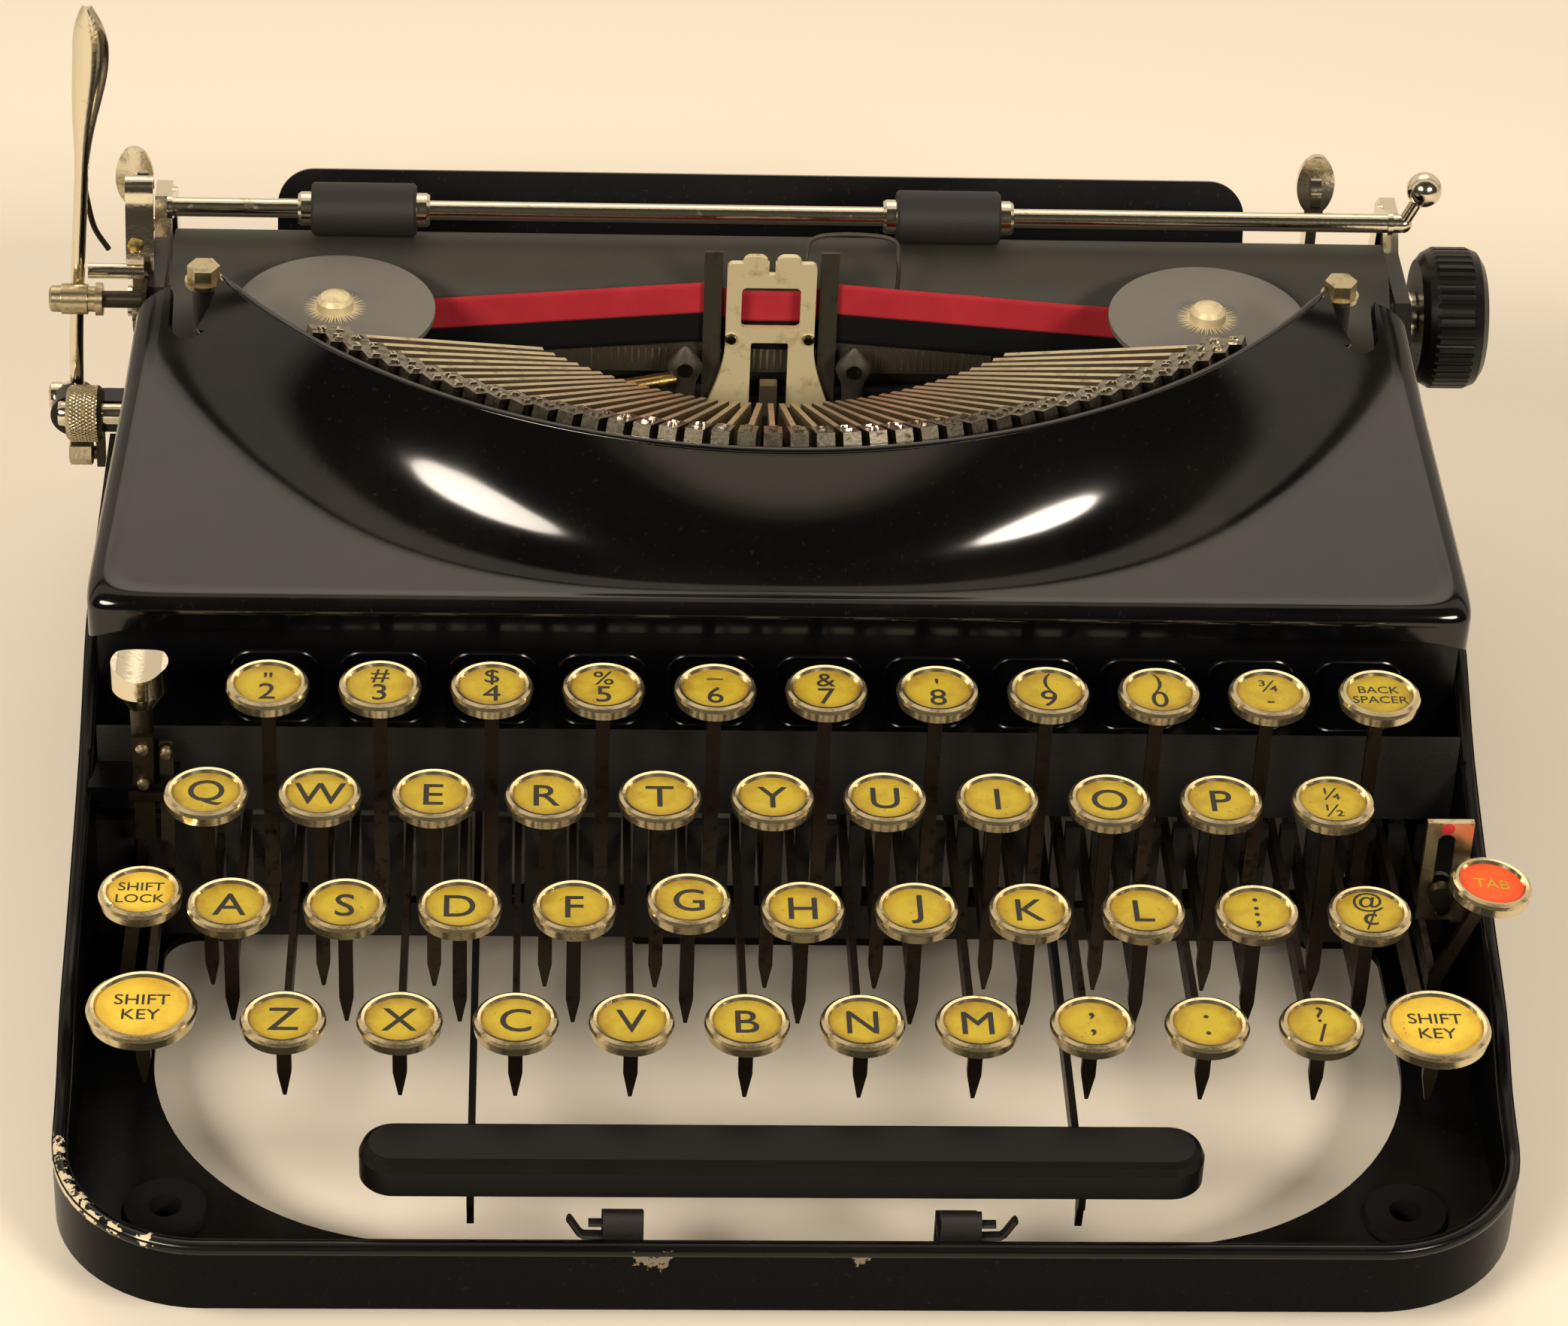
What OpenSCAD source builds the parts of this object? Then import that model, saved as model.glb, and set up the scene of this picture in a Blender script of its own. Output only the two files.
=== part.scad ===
// Four-bank portable typewriter, front strike, with a shifting carriage.
// X runs along the carriage, Y from the typist to the back, Z up from the table.
// The origin lies on the table, midway between the feet.

/* [Base] */
// Width of the base over its side walls
base_w = 244; // [240:1:250]
// Depth of the base from front wall to rear wall
base_d = 255; // [255:1:262]
// Height of the rubber feet under the flange
foot_h = 9; // [7:0.5:11]
// Height of the front wall above the feet
front_wall_h = 13; // [12:0.5:15]
// Thickness of the base walls
wall_t = 2.5; // [2:0.1:2.8]
// Thickness of the bottom flange
flange_t = 1.6; // [1.2:0.1:2]
// Radius of the two front corners
front_corner_r = 26; // [20:1:30]
// Radius of a rubber foot
foot_r = 8; // [6:0.5:9]
// Radius of the hole through a foot
foot_hole_r = 2.75; // [2:0.25:3.5]

/* [Hood] */
// Plan radius of the collar round the type basket
rim_r = 120; // [119:0.5:122]
// Height of the collar's rim above the table
rim_z = 97; // [95:0.5:100]
// Width of the hollow that runs up to the collar at the sides
fillet_w = 19; // [15:1:22]
// Width of that hollow in the middle
fillet_mid = 9.5; // [8:0.5:10]
// Height of the deck at the front lip
lip_z = 74; // [72:0.5:75]
// Rise of the deck per millimetre towards the back
deck_slope = 0.277; // [0.25:0.005:0.29]
// Sheet thickness of the hood
hood_t = 1.6; // [1.2:0.1:1.8]
// Radius rolled along the hood's edges
hood_edge_r = 3.2; // [2.5:0.1:4]

/* [Keyboard] */
// Distance between neighbouring keys in a row
key_pitch = 19.05; // [18.8:0.05:19.3]
// Distance from row to row
row_pitch = 19.05; // [18.8:0.05:19.3]
// Step in height from row to row
row_step = 8.7; // [8:0.1:9]
// Height of the number row's key tops
key_top_z = 70; // [69:0.5:71]
// Radius of a key's ring
key_r = 7.1; // [6.5:0.1:7.4]
// Radius of the larger shift keys
shift_key_r = 9.15; // [8.5:0.05:9.5]
// Height of a key's ring
key_h = 3.1; // [2.6:0.1:3.6]
// Thickness of a key lever
lever_t = 1.2; // [1:0.1:1.5]
// Radius of the shaft that the levers turn on
fulcrum_r = 2.5; // [2:0.1:3]
// Length of the space bar
space_bar_l = 138; // [130:1:146]

/* [Type basket] */
// Number of type bars
bar_count = 42; // [42]
// Thickness of a type bar
bar_t = 1; // [0.8:0.05:1.1]
// Depth of a type bar's arm
bar_depth = 4.6; // [4:0.1:5]
// Width of a type slug
slug_w = 3.2; // [2.6:0.1:3.4]
// Length of a type slug
slug_l = 8; // [7:0.5:10]

/* [Ribbon] */
// Radius of the spools' cover discs
disc_r = 18.3; // [16:0.1:18.4]
// Width of the ribbon
ribbon_w = 12.7; // [12:0.1:13]

/* [Carriage] */
// Radius of the platen
platen_r = 13.7; // [13:0.05:13.7]
// Length of the platen
platen_l = 228.5; // [226:0.5:229]
// Radius of the platen shaft
shaft_r = 3; // [2.5:0.1:3.5]
// Radius of the platen knob
knob_r = 13.5; // [12:0.1:14]
// Width of the platen knob
knob_w = 12.7; // [11:0.1:14]
// Radius of the two carriage rods
rod_r = 3; // [2.5:0.1:3.4]
// Radius of the bail bar
bail_r = 1.8; // [1.5:0.1:2.2]
// Length of the carriage's shift
shift_travel = 6.5; // [5.5:0.1:7]
// Width of the paper table
table_w = 187; // [180:1:192]

/* [Fits] */
// Radial play of turning parts
play = 0.05; // [0.03:0.01:0.08]
// Air between sliding faces
gap = 0.3; // [0.25:0.05:0.4]

/* [Hidden] */
$fn = 48;
hw = base_w / 2;
yf = -base_d / 2;
yr = base_d / 2;
inner_hw = hw - wall_t;
flange_z = foot_h + flange_t;
front_z = foot_h + front_wall_h;
hood_seat_z = 62;
rear_wall_z = 42;

// Hood
rim_front_y = -6.5;
axis_y = rim_front_y + rim_r;
lip_y = -20;
lip_hw = base_w / 2 - 0.5;
side_taper = 0.083;
hood_rear_y = 49;
lip_drop = 6;
crease_y = lip_y + hood_edge_r;
notch_x = hw - 16.6;
notch_y = 42.3;
notch_r = 4.3;
hood_stud_x = hw - 18;
hood_stud_y = 54;
panel_y = lip_y + hood_t + 1.4;
panel_t = 1.6;
panel_z0 = 44;

// Keyboard
row_y = [for (i = [0:3]) -38 - i * row_pitch];
row_z = [for (i = [0:3]) key_top_z - i * row_step];
row_x = [-88.6, -98.15, -93.4, -83.9];
fulcrum_y = 52;
fulcrum_z = 29;
lever_z = 27;
lever_h = 5;
comb_y = -33;
comb_z = 36;
comb_slot = lever_t + 1;
shift_l_x = -hw + 14.8;
shift_r_x = hw - 15.3;
lock_x = -hw + 13.5;
tab_x = hw - 2.5;
side_lever_x = hw - 10.1;
margin_x = -hw + 11.5;
selector_x = hw - 9.4;
space_y = yf + 7;
space_d = 11.5;
space_z = 27;
space_arm_x = [-52.9, 47.1];
stem_w = 2.4;
stem_t = 1.4;
tip_l = 5;
eye_r = fulcrum_r + 2;
bent_up = 1.6;

// Type basket: slugs lie on a circle inside the rim and swing to one print point
slug_ring_r = rim_r - 5.5;
fan_half = 46.4;
print_y = 62;
print_z = 81;
pivot_drop = 28;
moving_bar = 20;
seg_z0 = 53;
seg_floor_t = 2;
seg_block_h = 10;
seg_cx_y = 79.7;
seg_pivot_r = 56.7;
bulkhead_y = 10;

// Ribbon
spool_x = 80.4;
spool_y = 56.4;
disc_z = 85;
wound_r = 10.6;
ribbon_y = spool_y + wound_r + 0.1;
ribbon_t = 0.2;
ribbon_top = disc_z - 5;
ribbon_climb = 5.8;
spool_z0 = ribbon_top - ribbon_w - 1.5;
guide_y = 64.6;
guide_t = 1.2;
guide_hw = 8.3;
guide_foot_hw = 11.7;
guide_shoulder_z = 73;
guide_foot_z = 60;
guide_top_z = 91.5;
window_w = 11;
window_h = 8.8;
window_z = 77.5;
fork_t = 0.7;

// Carriage
platen_y = 82;
platen_z = 71;
platen_x0 = -111.5;
platen_x1 = platen_x0 + platen_l;
cheek_t = 3;
cheek_gap = 1.5;
left_cheek = platen_x0 - cheek_gap - cheek_t;
right_cheek = platen_x1 + cheek_gap;
bed_z = 46;
bed_t = 2;
rod_z = 39.5;
rod_y = [76, 100];
shoe_x = 18;
shoe_l = 24;
shift_dir = [0, 0.6, 0.8];
stud_y = 100;
stud_z = 29;
stud_r = 2.5;
bail_y = 85.5;
bail_z = 89.6;
bail_pivot = [100, 66];
bail_pin_r = 2;
roller_r = 5;
roller_x = [-76, 33.8];
roller_l = 19.6;
release_pivot = [102, 60];
release_x = table_w / 2 + 11;
release_pin_r = 1.5;
spoon_h = 12;
lever_pivot_x = -130.5;
lever_pivot_z = 53;
lever_top_z = 137;
lever_pin_r = 2.5;
feed_r = 4;
feed_z = platen_z - platen_r - feed_r - 0.2;
drum_x = -80;
bell_x = 70;
rear_pin_z = 27;
rear_pin_r = 3;
drum_r = 14;

key_pairs = [
  ["key_2_3", 0, [0, 1]], ["key_4_5", 0, [2, 3]], ["key_6_7", 0, [4, 5]],
  ["key_8_9", 0, [6, 7]], ["key_0_dash", 0, [8, 9]],
  ["key_q_w", 1, [0, 1]], ["key_e_r", 1, [2, 3]], ["key_t_y", 1, [4, 5]],
  ["key_u_i", 1, [6, 7]], ["key_o_p", 1, [8, 9]], ["key_half", 1, [10]],
  ["key_a_s", 2, [0, 1]], ["key_d_f", 2, [2, 3]], ["key_g", 2, [4]],
  ["key_h_j", 2, [5, 6]], ["key_k_l", 2, [7, 8]], ["key_colon_at", 2, [9, 10]],
  ["key_z_x", 3, [0, 1]], ["key_c_v", 3, [2, 3]], ["key_b_n", 3, [4, 5]],
  ["key_m_comma", 3, [6, 7]], ["key_stop_slash", 3, [8, 9]]];

// Small helpers

module box(x0, x1, y0, y1, z0, z1) {
  translate([x0, y0, z0]) cube([x1 - x0, y1 - y0, z1 - z0]);
}

module bar_x(x0, x1, y, z, r) {
  translate([x0, y, z]) rotate([0, 90, 0]) cylinder(r = r, h = x1 - x0);
}

module bar_y(y0, y1, x, z, r) {
  translate([x, y0, z]) rotate([-90, 0, 0]) cylinder(r = r, h = y1 - y0);
}

// A plate from x0 to x1 whose outline is drawn in Y and Z
module side_plate(x0, x1) {
  translate([x0, 0, 0]) rotate([90, 0, 90]) linear_extrude(x1 - x0) children();
}

// A plate from y0 to y1 whose outline is drawn in X and Z
module face_plate(y0, y1) {
  translate([0, y1, 0]) rotate([90, 0, 0]) linear_extrude(y1 - y0) children();
}

// A rectangle with round corners, front and rear radii apart
module round_rect(x0, x1, y0, y1, rf, rr) {
  translate([x0, y0 + rf]) square([x1 - x0, y1 - rr - y0 - rf]);
  translate([x0 + rf, y0]) square([x1 - x0 - 2 * rf, rf]);
  translate([x0 + rr, y1 - rr]) square([x1 - x0 - 2 * rr, rr]);
  for (x = [x0 + rf, x1 - rf]) translate([x, y0 + rf]) circle(rf);
  for (x = [x0 + rr, x1 - rr]) translate([x, y1 - rr]) circle(rr);
}

// A slot from p to q with round ends
module slot(p, q, r) {
  d = q - p;
  translate(p) circle(r);
  translate(q) circle(r);
  translate(p) rotate(atan2(d[1], d[0])) translate([0, -r]) square([norm(d), 2 * r]);
}

// Catmull-Rom curve through points, n steps a span
function curve_at(a, b, c, d, t) = 0.5 * (2 * b + (c - a) * t + (2 * a - 5 * b + 4 * c - d) * t * t
  + (3 * b - a - 3 * c + d) * t * t * t);
function curve(p, n) = [for (i = [0:len(p) - 2]) for (k = [0:n - 1])
  curve_at(p[max(i - 1, 0)], p[i], p[i + 1], p[min(i + 2, len(p) - 1)], k / n), p[len(p) - 1]];

// Base

function side_top() = curve([[-104, front_z + 0.6], [-92, front_z + 4.5], [-80, front_z + 11.5],
  [-60, front_z + 17], [-30, front_z + 27], [-12, hood_seat_z - 3], [-2, hood_seat_z]], 4);

module side_outline() {
  polygon(concat([[yf - 1, 0], [yf - 1, front_z]], side_top(),
    [[50, hood_seat_z], [58, rear_wall_z], [yr + 1, rear_wall_z], [yr + 1, 0]]));
}

module foot_places() {
  for (x = [-1, 1], y = [-1, 1]) translate([x * (hw - 18.5), y * (yr - 21.5), 0]) children();
}

// Every lever that passes through the comb
function lever_xs() = concat([for (g = key_pairs) for (c = g[2]) row_x[g[1]] + c * key_pitch], space_arm_x,
  [row_x[0] + 10 * key_pitch, shift_l_x, shift_r_x, -side_lever_x, side_lever_x]);

module base_frame() {
  color("#17181a") {
    difference() {
      intersection() {
        translate([0, 0, foot_h]) linear_extrude(hood_seat_z) difference() {
          round_rect(-hw, hw, yf, yr, front_corner_r, 12);
          round_rect(-inner_hw, inner_hw, yf + wall_t, yr - wall_t, front_corner_r - wall_t, 12 - wall_t);
        }
        side_plate(-hw - 1, hw + 1) side_outline();
      }
      for (x = [-hw - 1, inner_hw - 1]) side_plate(x, x + wall_t + 2)
        slot([stud_y, stud_z], [stud_y + shift_travel * shift_dir[1], stud_z + shift_travel * shift_dir[2]],
          stud_r + gap);
    }
    translate([0, 0, foot_h]) linear_extrude(flange_t) difference() {
      round_rect(-hw, hw, yf, yr, front_corner_r, 12);
      round_rect(-hw + 14, hw - 14, yf + 14, comb_y, 48, 6);
      round_rect(-hw + 14, hw - 14, -18, yr - 35, 12, 30);
      foot_places() circle(foot_r - 1.95);
    }
    for (x = [drum_x, bell_x]) bar_y(yr - 20, yr - wall_t, x, rear_pin_z, rear_pin_r);
    difference() {
      box(-inner_hw - 0.5, -inner_hw + 15, -38, -30, 44, 47);
      translate([margin_x, -34, 40]) cylinder(r = 2 + play, h = 10);
    }
  }
}

module rubber_feet() {
  color("#242322") foot_places() rotate_extrude() polygon([
    [foot_hole_r, 0], [foot_r - 1.2, 0], [foot_r, 1.2], [foot_r, foot_h], [foot_r - 2, foot_h],
    [foot_r - 2, flange_z], [foot_r - 0.6, flange_z], [foot_r - 1.2, flange_z + 1.4],
    [foot_hole_r, flange_z + 1.4]]);
}

// Hood: each ring is the section along one ray from the collar's axis

function deck_z(y) = lip_z + deck_slope * (y - crease_y);
function ease(t) = t * t * (3 - 2 * t);
function fillet_at(a) = fillet_mid + (fillet_w - fillet_mid) * ease(min(1, abs(a) / 40));
function rise(r, a) = pow(max(0, min(1, 1 - (r - rim_r) / fillet_at(a))), 2.6);
function top_z(r, a) = let(d = deck_z(axis_y - r * cos(a))) d + (rim_z - d) * rise(r, a);
function corner_a() = atan(lip_hw / (axis_y - lip_y));
function front_ray(a) = (axis_y - lip_y) / cos(a);
function side_ray(a) = (lip_hw - side_taper * (axis_y - lip_y)) / (sin(a) - side_taper * cos(a));
function ray_out(a) = abs(a) <= corner_a() ? front_ray(a) : side_ray(abs(a));
function ray_in(a) = max(rim_r, (axis_y - hood_rear_y) / cos(a));
function edge_k(a) = abs(abs(a) - corner_a()) < 0.01 ? 1.41
  : abs(a) < corner_a() ? 1 / cos(a) : 1 / sin(abs(a));
function skirt_z(a) = abs(a) <= corner_a() + 0.01 ? lip_z - lip_drop : hood_seat_z;
function slope_at(r, a) = (top_z(r + 0.05, a) - top_z(r - 0.05, a)) / 0.1;
function hood_ring(a) = let(
    k = edge_k(a), r0 = ray_in(a), r2 = ray_out(a), r1 = r2 - hood_edge_r * k, z1 = top_z(r1, a),
    n = 12, ri = hood_edge_r - hood_t,
    rs = [for (i = [0:n]) r0 + (r1 - r0) * pow(i / n, 1.5)],
    outer = [for (r = rs) [r, top_z(r, a)]],
    under = [for (i = [n:-1:0]) let(r = rs[i], s = slope_at(r, a), c = hood_t / sqrt(1 + s * s))
      [r + s * c, top_z(r, a) - c]])
  concat(outer,
    [for (b = [22.5:22.5:90]) [r1 + hood_edge_r * k * sin(b), z1 - hood_edge_r * (1 - cos(b))]],
    [[r2, skirt_z(a)], [r2 - hood_t * k, skirt_z(a)]],
    [for (b = [90:-22.5:22.5]) [r1 + ri * k * sin(b), z1 - hood_t - ri * (1 - cos(b))]],
    under);
function hood_angles() = let(c = corner_a(), s = [for (i = [0:16]) c * i / 16],
  e = [44, 47, 50, 53, 56, 57.5, 58.5, 60],
  half = concat(s, e)) concat([for (i = [len(half) - 1:-1:1]) -half[i]], half);

module hood_shell() {
  angles = hood_angles();
  rings = [for (a = angles) [for (p = hood_ring(a)) [p[0] * sin(a), axis_y - p[0] * cos(a), p[1]]]];
  m = len(rings[0]);
  n = len(rings);
  points = [for (g = rings) for (p = g) p];
  walls = [for (i = [0:n - 2]) for (j = [0:m - 1]) let(k = (j + 1) % m,
    a = i * m + j, b = i * m + k, c = (i + 1) * m + k, d = (i + 1) * m + j) each [[a, c, b], [a, d, c]]];
  caps = [[for (j = [0:m - 1]) j], [for (j = [m - 1:-1:0]) (n - 1) * m + j]];
  polyhedron(points, concat(walls, caps), convexity = 6);
}

module front_hood() {
  color("#151618") difference() {
    hood_shell();
    for (s = [-1, 1]) translate([s * notch_x, notch_y, 60]) {
      cylinder(r = notch_r, h = 60);
      translate([-notch_r, 0, 0]) cube([2 * notch_r, 20, 60]);
    }
  }
}

// Apron under the lip, with a shallow bay behind each key of the number row
module front_panel() {
  color("#131416") difference() {
    box(-inner_hw + gap, inner_hw - gap, panel_y, panel_y + panel_t, panel_z0, lip_z - 3.5);
    for (c = [0:10]) translate([row_x[0] + c * key_pitch, 0, 0])
     face_plate(panel_y - 1, panel_y + panel_t / 2)
      round_rect(-key_r - 0.4, key_r + 0.4, panel_z0 + 2, key_top_z - 9, 3, 4);
  }
}

module hood_studs() {
  color("#c9bfae") for (s = [-1, 1]) translate([s * hood_stud_x, hood_stud_y, seg_z0 + seg_floor_t]) {
    cylinder(r = 2.2, h = 38);
    translate([0, 0, 37.4]) cylinder(r = 3.5, h = 0.9);
    translate([0, 0, 38.3]) cylinder(r = 3, h = 2.8, $fn = 6);
  }
}

// Type basket

function bar_a(i) = -fan_half + 2 * fan_half * i / (bar_count - 1);
function bar_q(i) = pow(bar_a(i) / fan_half, 2);
function slug_p(i) =
  [slug_ring_r * sin(bar_a(i)), axis_y - slug_ring_r * cos(bar_a(i)), rim_z - 2.5 * bar_q(i)];
function bar_run(i) = let(s = slug_p(i)) norm([s[0], print_y - s[1]]);
function bar_turn(i) = let(s = slug_p(i)) atan2(print_y - s[1], -s[0]);
// Pivot in the bar's own plane, as far from the slug as from the print point
function pivot_uz(i) = let(s = slug_p(i), l = bar_run(i), dz = print_z - s[2], d = sqrt(l * l + dz * dz))
  [l / 2 + pivot_drop * dz / d, (s[2] + print_z) / 2 - pivot_drop * l / d];
function tail_uz(i) = [bar_run(i) * (0.56 - 0.07 * bar_q(i)), print_z - 0.4 + 2.4 * bar_q(i)];

module type_bar(i) {
  s = slug_p(i);
  q = pivot_uz(i);
  t = tail_uz(i);
  fall = (t[1] - s[2]) / t[0];
  translate([s[0], s[1], 0]) rotate(bar_turn(i)) {
    translate([0, bar_t / 2, 0]) rotate([90, 0, 0]) linear_extrude(bar_t) {
      polygon([[-0.6, s[2]], t, [t[0], t[1] - 6], [q[0] + 3, q[1] + 1], [q[0] - 3, q[1] + 1],
        [t[0] - 10, s[2] + fall * (t[0] - 10) - bar_depth - 1], [4, s[2] + fall * 4 - bar_depth],
        [-0.6, s[2] - 3]]);
      translate(q) circle(3, $fn = 24);
    }
    translate([-1.2, -slug_w / 2, s[2]]) rotate([0, atan(-fall), 0]) translate([0, 0, -2.4])
      cube([slug_l, slug_w, 3.4]);
  }
}

module type_bars() {
  color("#8d8474") for (i = [0:bar_count - 1]) if (i != moving_bar) type_bar(i);
}

module type_bar_g() {
  color("#8d8474") type_bar(moving_bar);
}

// Slotted arc that the type bars turn in, on the floor of the type basket
module type_segment() {
  color("#1c1c1c") {
    difference() {
      union() {
        box(-inner_hw, inner_hw, bulkhead_y, spool_y + 4, seg_z0, seg_z0 + seg_floor_t);
        box(-14, 14, spool_y - 2, guide_y, seg_z0, seg_z0 + 7);
        translate([0, seg_cx_y, seg_z0 + seg_floor_t]) rotate([0, 0, -90 - 62]) rotate_extrude(angle = 124)
          translate([seg_pivot_r - 6, 0]) square([12, seg_block_h]);
      }
      box(-4, 4, 18, guide_y - 3, seg_z0 - 1, seg_z0 + 30);
      for (i = [0:bar_count - 1]) let(s = slug_p(i)) translate([s[0], s[1], seg_z0 + seg_floor_t + 0.5])
        rotate(bar_turn(i)) translate([pivot_uz(i)[0] - 14, -bar_t / 2 - 0.15, 0])
          cube([30, bar_t + 0.3, 20]);
    }
    box(-inner_hw, inner_hw, bulkhead_y, bulkhead_y + 3, 37, seg_z0);
    for (x = [-spool_x, spool_x]) translate([x, spool_y, seg_z0]) {
      cylinder(r = 6, h = spool_z0 - gap - seg_z0);
      cylinder(r = 2.5, h = 34);
    }
  }
}

// Guide plate: window, flared legs, and two round ears with a slit between them
module type_guide() {
  flare = concat([for (i = [0:8]) [guide_hw + (guide_foot_hw - guide_hw) * pow(i / 8, 1.6),
    guide_shoulder_z - i / 8 * (guide_shoulder_z - guide_foot_z)]], [[guide_foot_hw, seg_z0 + 1]]);
  color("#b9ad92") face_plate(guide_y, guide_y + guide_t) difference() {
    union() {
      polygon(concat(flare, [for (i = [len(flare) - 1:-1:0]) [-flare[i][0], flare[i][1]]]));
      round_rect(-guide_hw, guide_hw, guide_shoulder_z - 3, guide_top_z, 0.6, 1.1);
      for (s = [-1, 1]) slot([s * 3.1 - 0.8, guide_top_z], [s * 3.1 + 0.8, guide_top_z], 1.5);
    }
    round_rect(-window_w / 2, window_w / 2, window_z, window_z + window_h, 1, 1);
    round_rect(-3.5, 3.5, 50, window_z - 3.2, 0.5, 0.5);
    translate([-0.6, guide_top_z - 2.4]) square([1.2, 6]);
  }
}

module ribbon_vibrator() {
  color("#26241f") face_plate(guide_y + guide_t + gap, guide_y + guide_t + gap + fork_t) {
    for (s = [-1, 1]) translate([s * 10.8 - 1.7, 56]) square([3.4, 37]);
    translate([-12.5, 56]) square([25, 4]);
  }
}

// Ribbon band: climbs from the spools to the forks and dips a little at the window
function ribbon_rise(x) = abs(x) > 12 ? ribbon_climb * (spool_x - abs(x)) / (spool_x - 12)
  : ribbon_climb - 1.7 * ease(min(1, (12 - abs(x)) / 6));
function ribbon_edge() = [for (x = [-spool_x, -12, -10.5, -9, -7.5, -6, 6, 7.5, 9, 10.5, 12, spool_x])
  [x, ribbon_top + ribbon_rise(x)]];

module ribbon() {
  top = ribbon_edge();
  color("#a8182c") face_plate(ribbon_y, ribbon_y + ribbon_t)
    polygon(concat(top, [for (i = [len(top) - 1:-1:0]) top[i] - [0, ribbon_w]]));
}

module spool() {
  color("#6b665e") translate([0, spool_y, 0]) rotate_extrude() polygon([
    [2.5 + play, spool_z0], [wound_r + 0.8, spool_z0], [wound_r + 0.8, spool_z0 + 0.9],
    [wound_r, spool_z0 + 0.9], [wound_r, disc_z], [disc_r, disc_z], [disc_r, disc_z + 1], [3.4, disc_z + 1.1],
    [3.3, disc_z + 2.7], [2.6, disc_z + 3.5], [1.4, disc_z + 3.9], [0, disc_z + 4], [0, disc_z + 2.4],
    [2.5 + play, disc_z + 2.4]]);
}

module spool_left() { translate([-spool_x, 0, 0]) spool(); }
module spool_right() { translate([spool_x, 0, 0]) spool(); }

// Keys

// Ring with a recessed card, its top at the origin
module key_head(r) {
  color("#cfc3a4") rotate_extrude() polygon([[0, -key_h], [r - 0.9, -key_h], [r - 0.3, -key_h + 0.5],
    [r, -0.9], [r - 0.25, -0.3], [r - 0.8, 0], [r - 1.3, -0.1], [r - 1.6, -0.7], [0, -0.7]]);
}

// Height of a lever at its stem: the two front rows stand higher
function lever_mid(y) = y < row_y[2] + 4 ? lever_z + 8 : lever_z;

// Lever from the stem under a key back to the shaft, in the plane x = 0
module key_lever(y, top) {
  mid = lever_mid(y);
  color("#2b2723") {
    difference() {
      side_plate(-lever_t / 2, lever_t / 2) {
        polygon([[y, mid - lever_h / 2], [fulcrum_y, fulcrum_z - lever_h / 2],
          [fulcrum_y, fulcrum_z + lever_h / 2], [y, mid + lever_h / 2]]);
        translate([fulcrum_y, fulcrum_z]) circle(eye_r);
      }
      bar_x(-5, 5, fulcrum_y, fulcrum_z, fulcrum_r + play);
    }
    face_plate(y - stem_t / 2, y + stem_t / 2) polygon([[-stem_w / 2, top], [stem_w / 2, top],
      [stem_w / 2, mid - lever_h / 2], [0.3, mid - lever_h / 2 - tip_l],
      [-0.3, mid - lever_h / 2 - tip_l], [-stem_w / 2, mid - lever_h / 2]]);
  }
}

module key(x, y, z, r) {
  translate([x, y, z]) key_head(r);
  translate([x, 0, 0]) key_lever(y, z - key_h - 0.03);
}

module key_group(name) {
  for (g = key_pairs) if (g[0] == name) for (c = g[2])
    key(row_x[g[1]] + c * key_pitch, row_y[g[1]], row_z[g[1]] + (name == "key_g" ? bent_up : 0), key_r);
}

module back_spacer() { key(row_x[0] + 10 * key_pitch, row_y[0], row_z[0], key_r); }
module shift_key_left() { key(shift_l_x, row_y[3] + 2.9, row_z[3], shift_key_r); }
module shift_key_right() { key(shift_r_x, row_y[3], row_z[3], shift_key_r); }

// A head that stands off to the side of its lever on a leaning stem
module offset_key(x_head, x_lever, y, z, tilt) {
  translate([x_head, y, z]) rotate([0, tilt, 0]) key_head(key_r);
  translate([x_lever, 0, 0]) key_lever(y, lever_z + lever_h / 2 + 1);
  color("#2b2723") face_plate(y - stem_t / 2, y + stem_t / 2) polygon([
    [x_head - stem_w / 2 - 1, z - key_h - 0.6], [x_head + stem_w / 2 - 1, z - key_h - 0.6],
    [x_lever + stem_w / 2, lever_z + lever_h / 2], [x_lever - stem_w / 2, lever_z + lever_h / 2]]);
}

module shift_lock() { offset_key(lock_x, -side_lever_x, row_y[2] + 5, row_z[2] - 1.6, 0); }
module tab_key() { offset_key(tab_x, side_lever_x, row_y[2] + 10, row_z[2] - 1.6, 6); }

// Shaft that the levers turn on, and the comb that guides them
module lever_shaft() {
  color("#8f8a80") bar_x(-inner_hw, inner_hw, fulcrum_y, fulcrum_z, fulcrum_r);
  color("#1d1c1b") difference() {
    box(-inner_hw, inner_hw, comb_y, comb_y + 2, flange_z, comb_z);
    for (x = lever_xs())
      box(x - comb_slot / 2, x + comb_slot / 2, comb_y - 1, comb_y + 3, foot_h + 9, comb_z + 1);
  }
}

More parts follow.
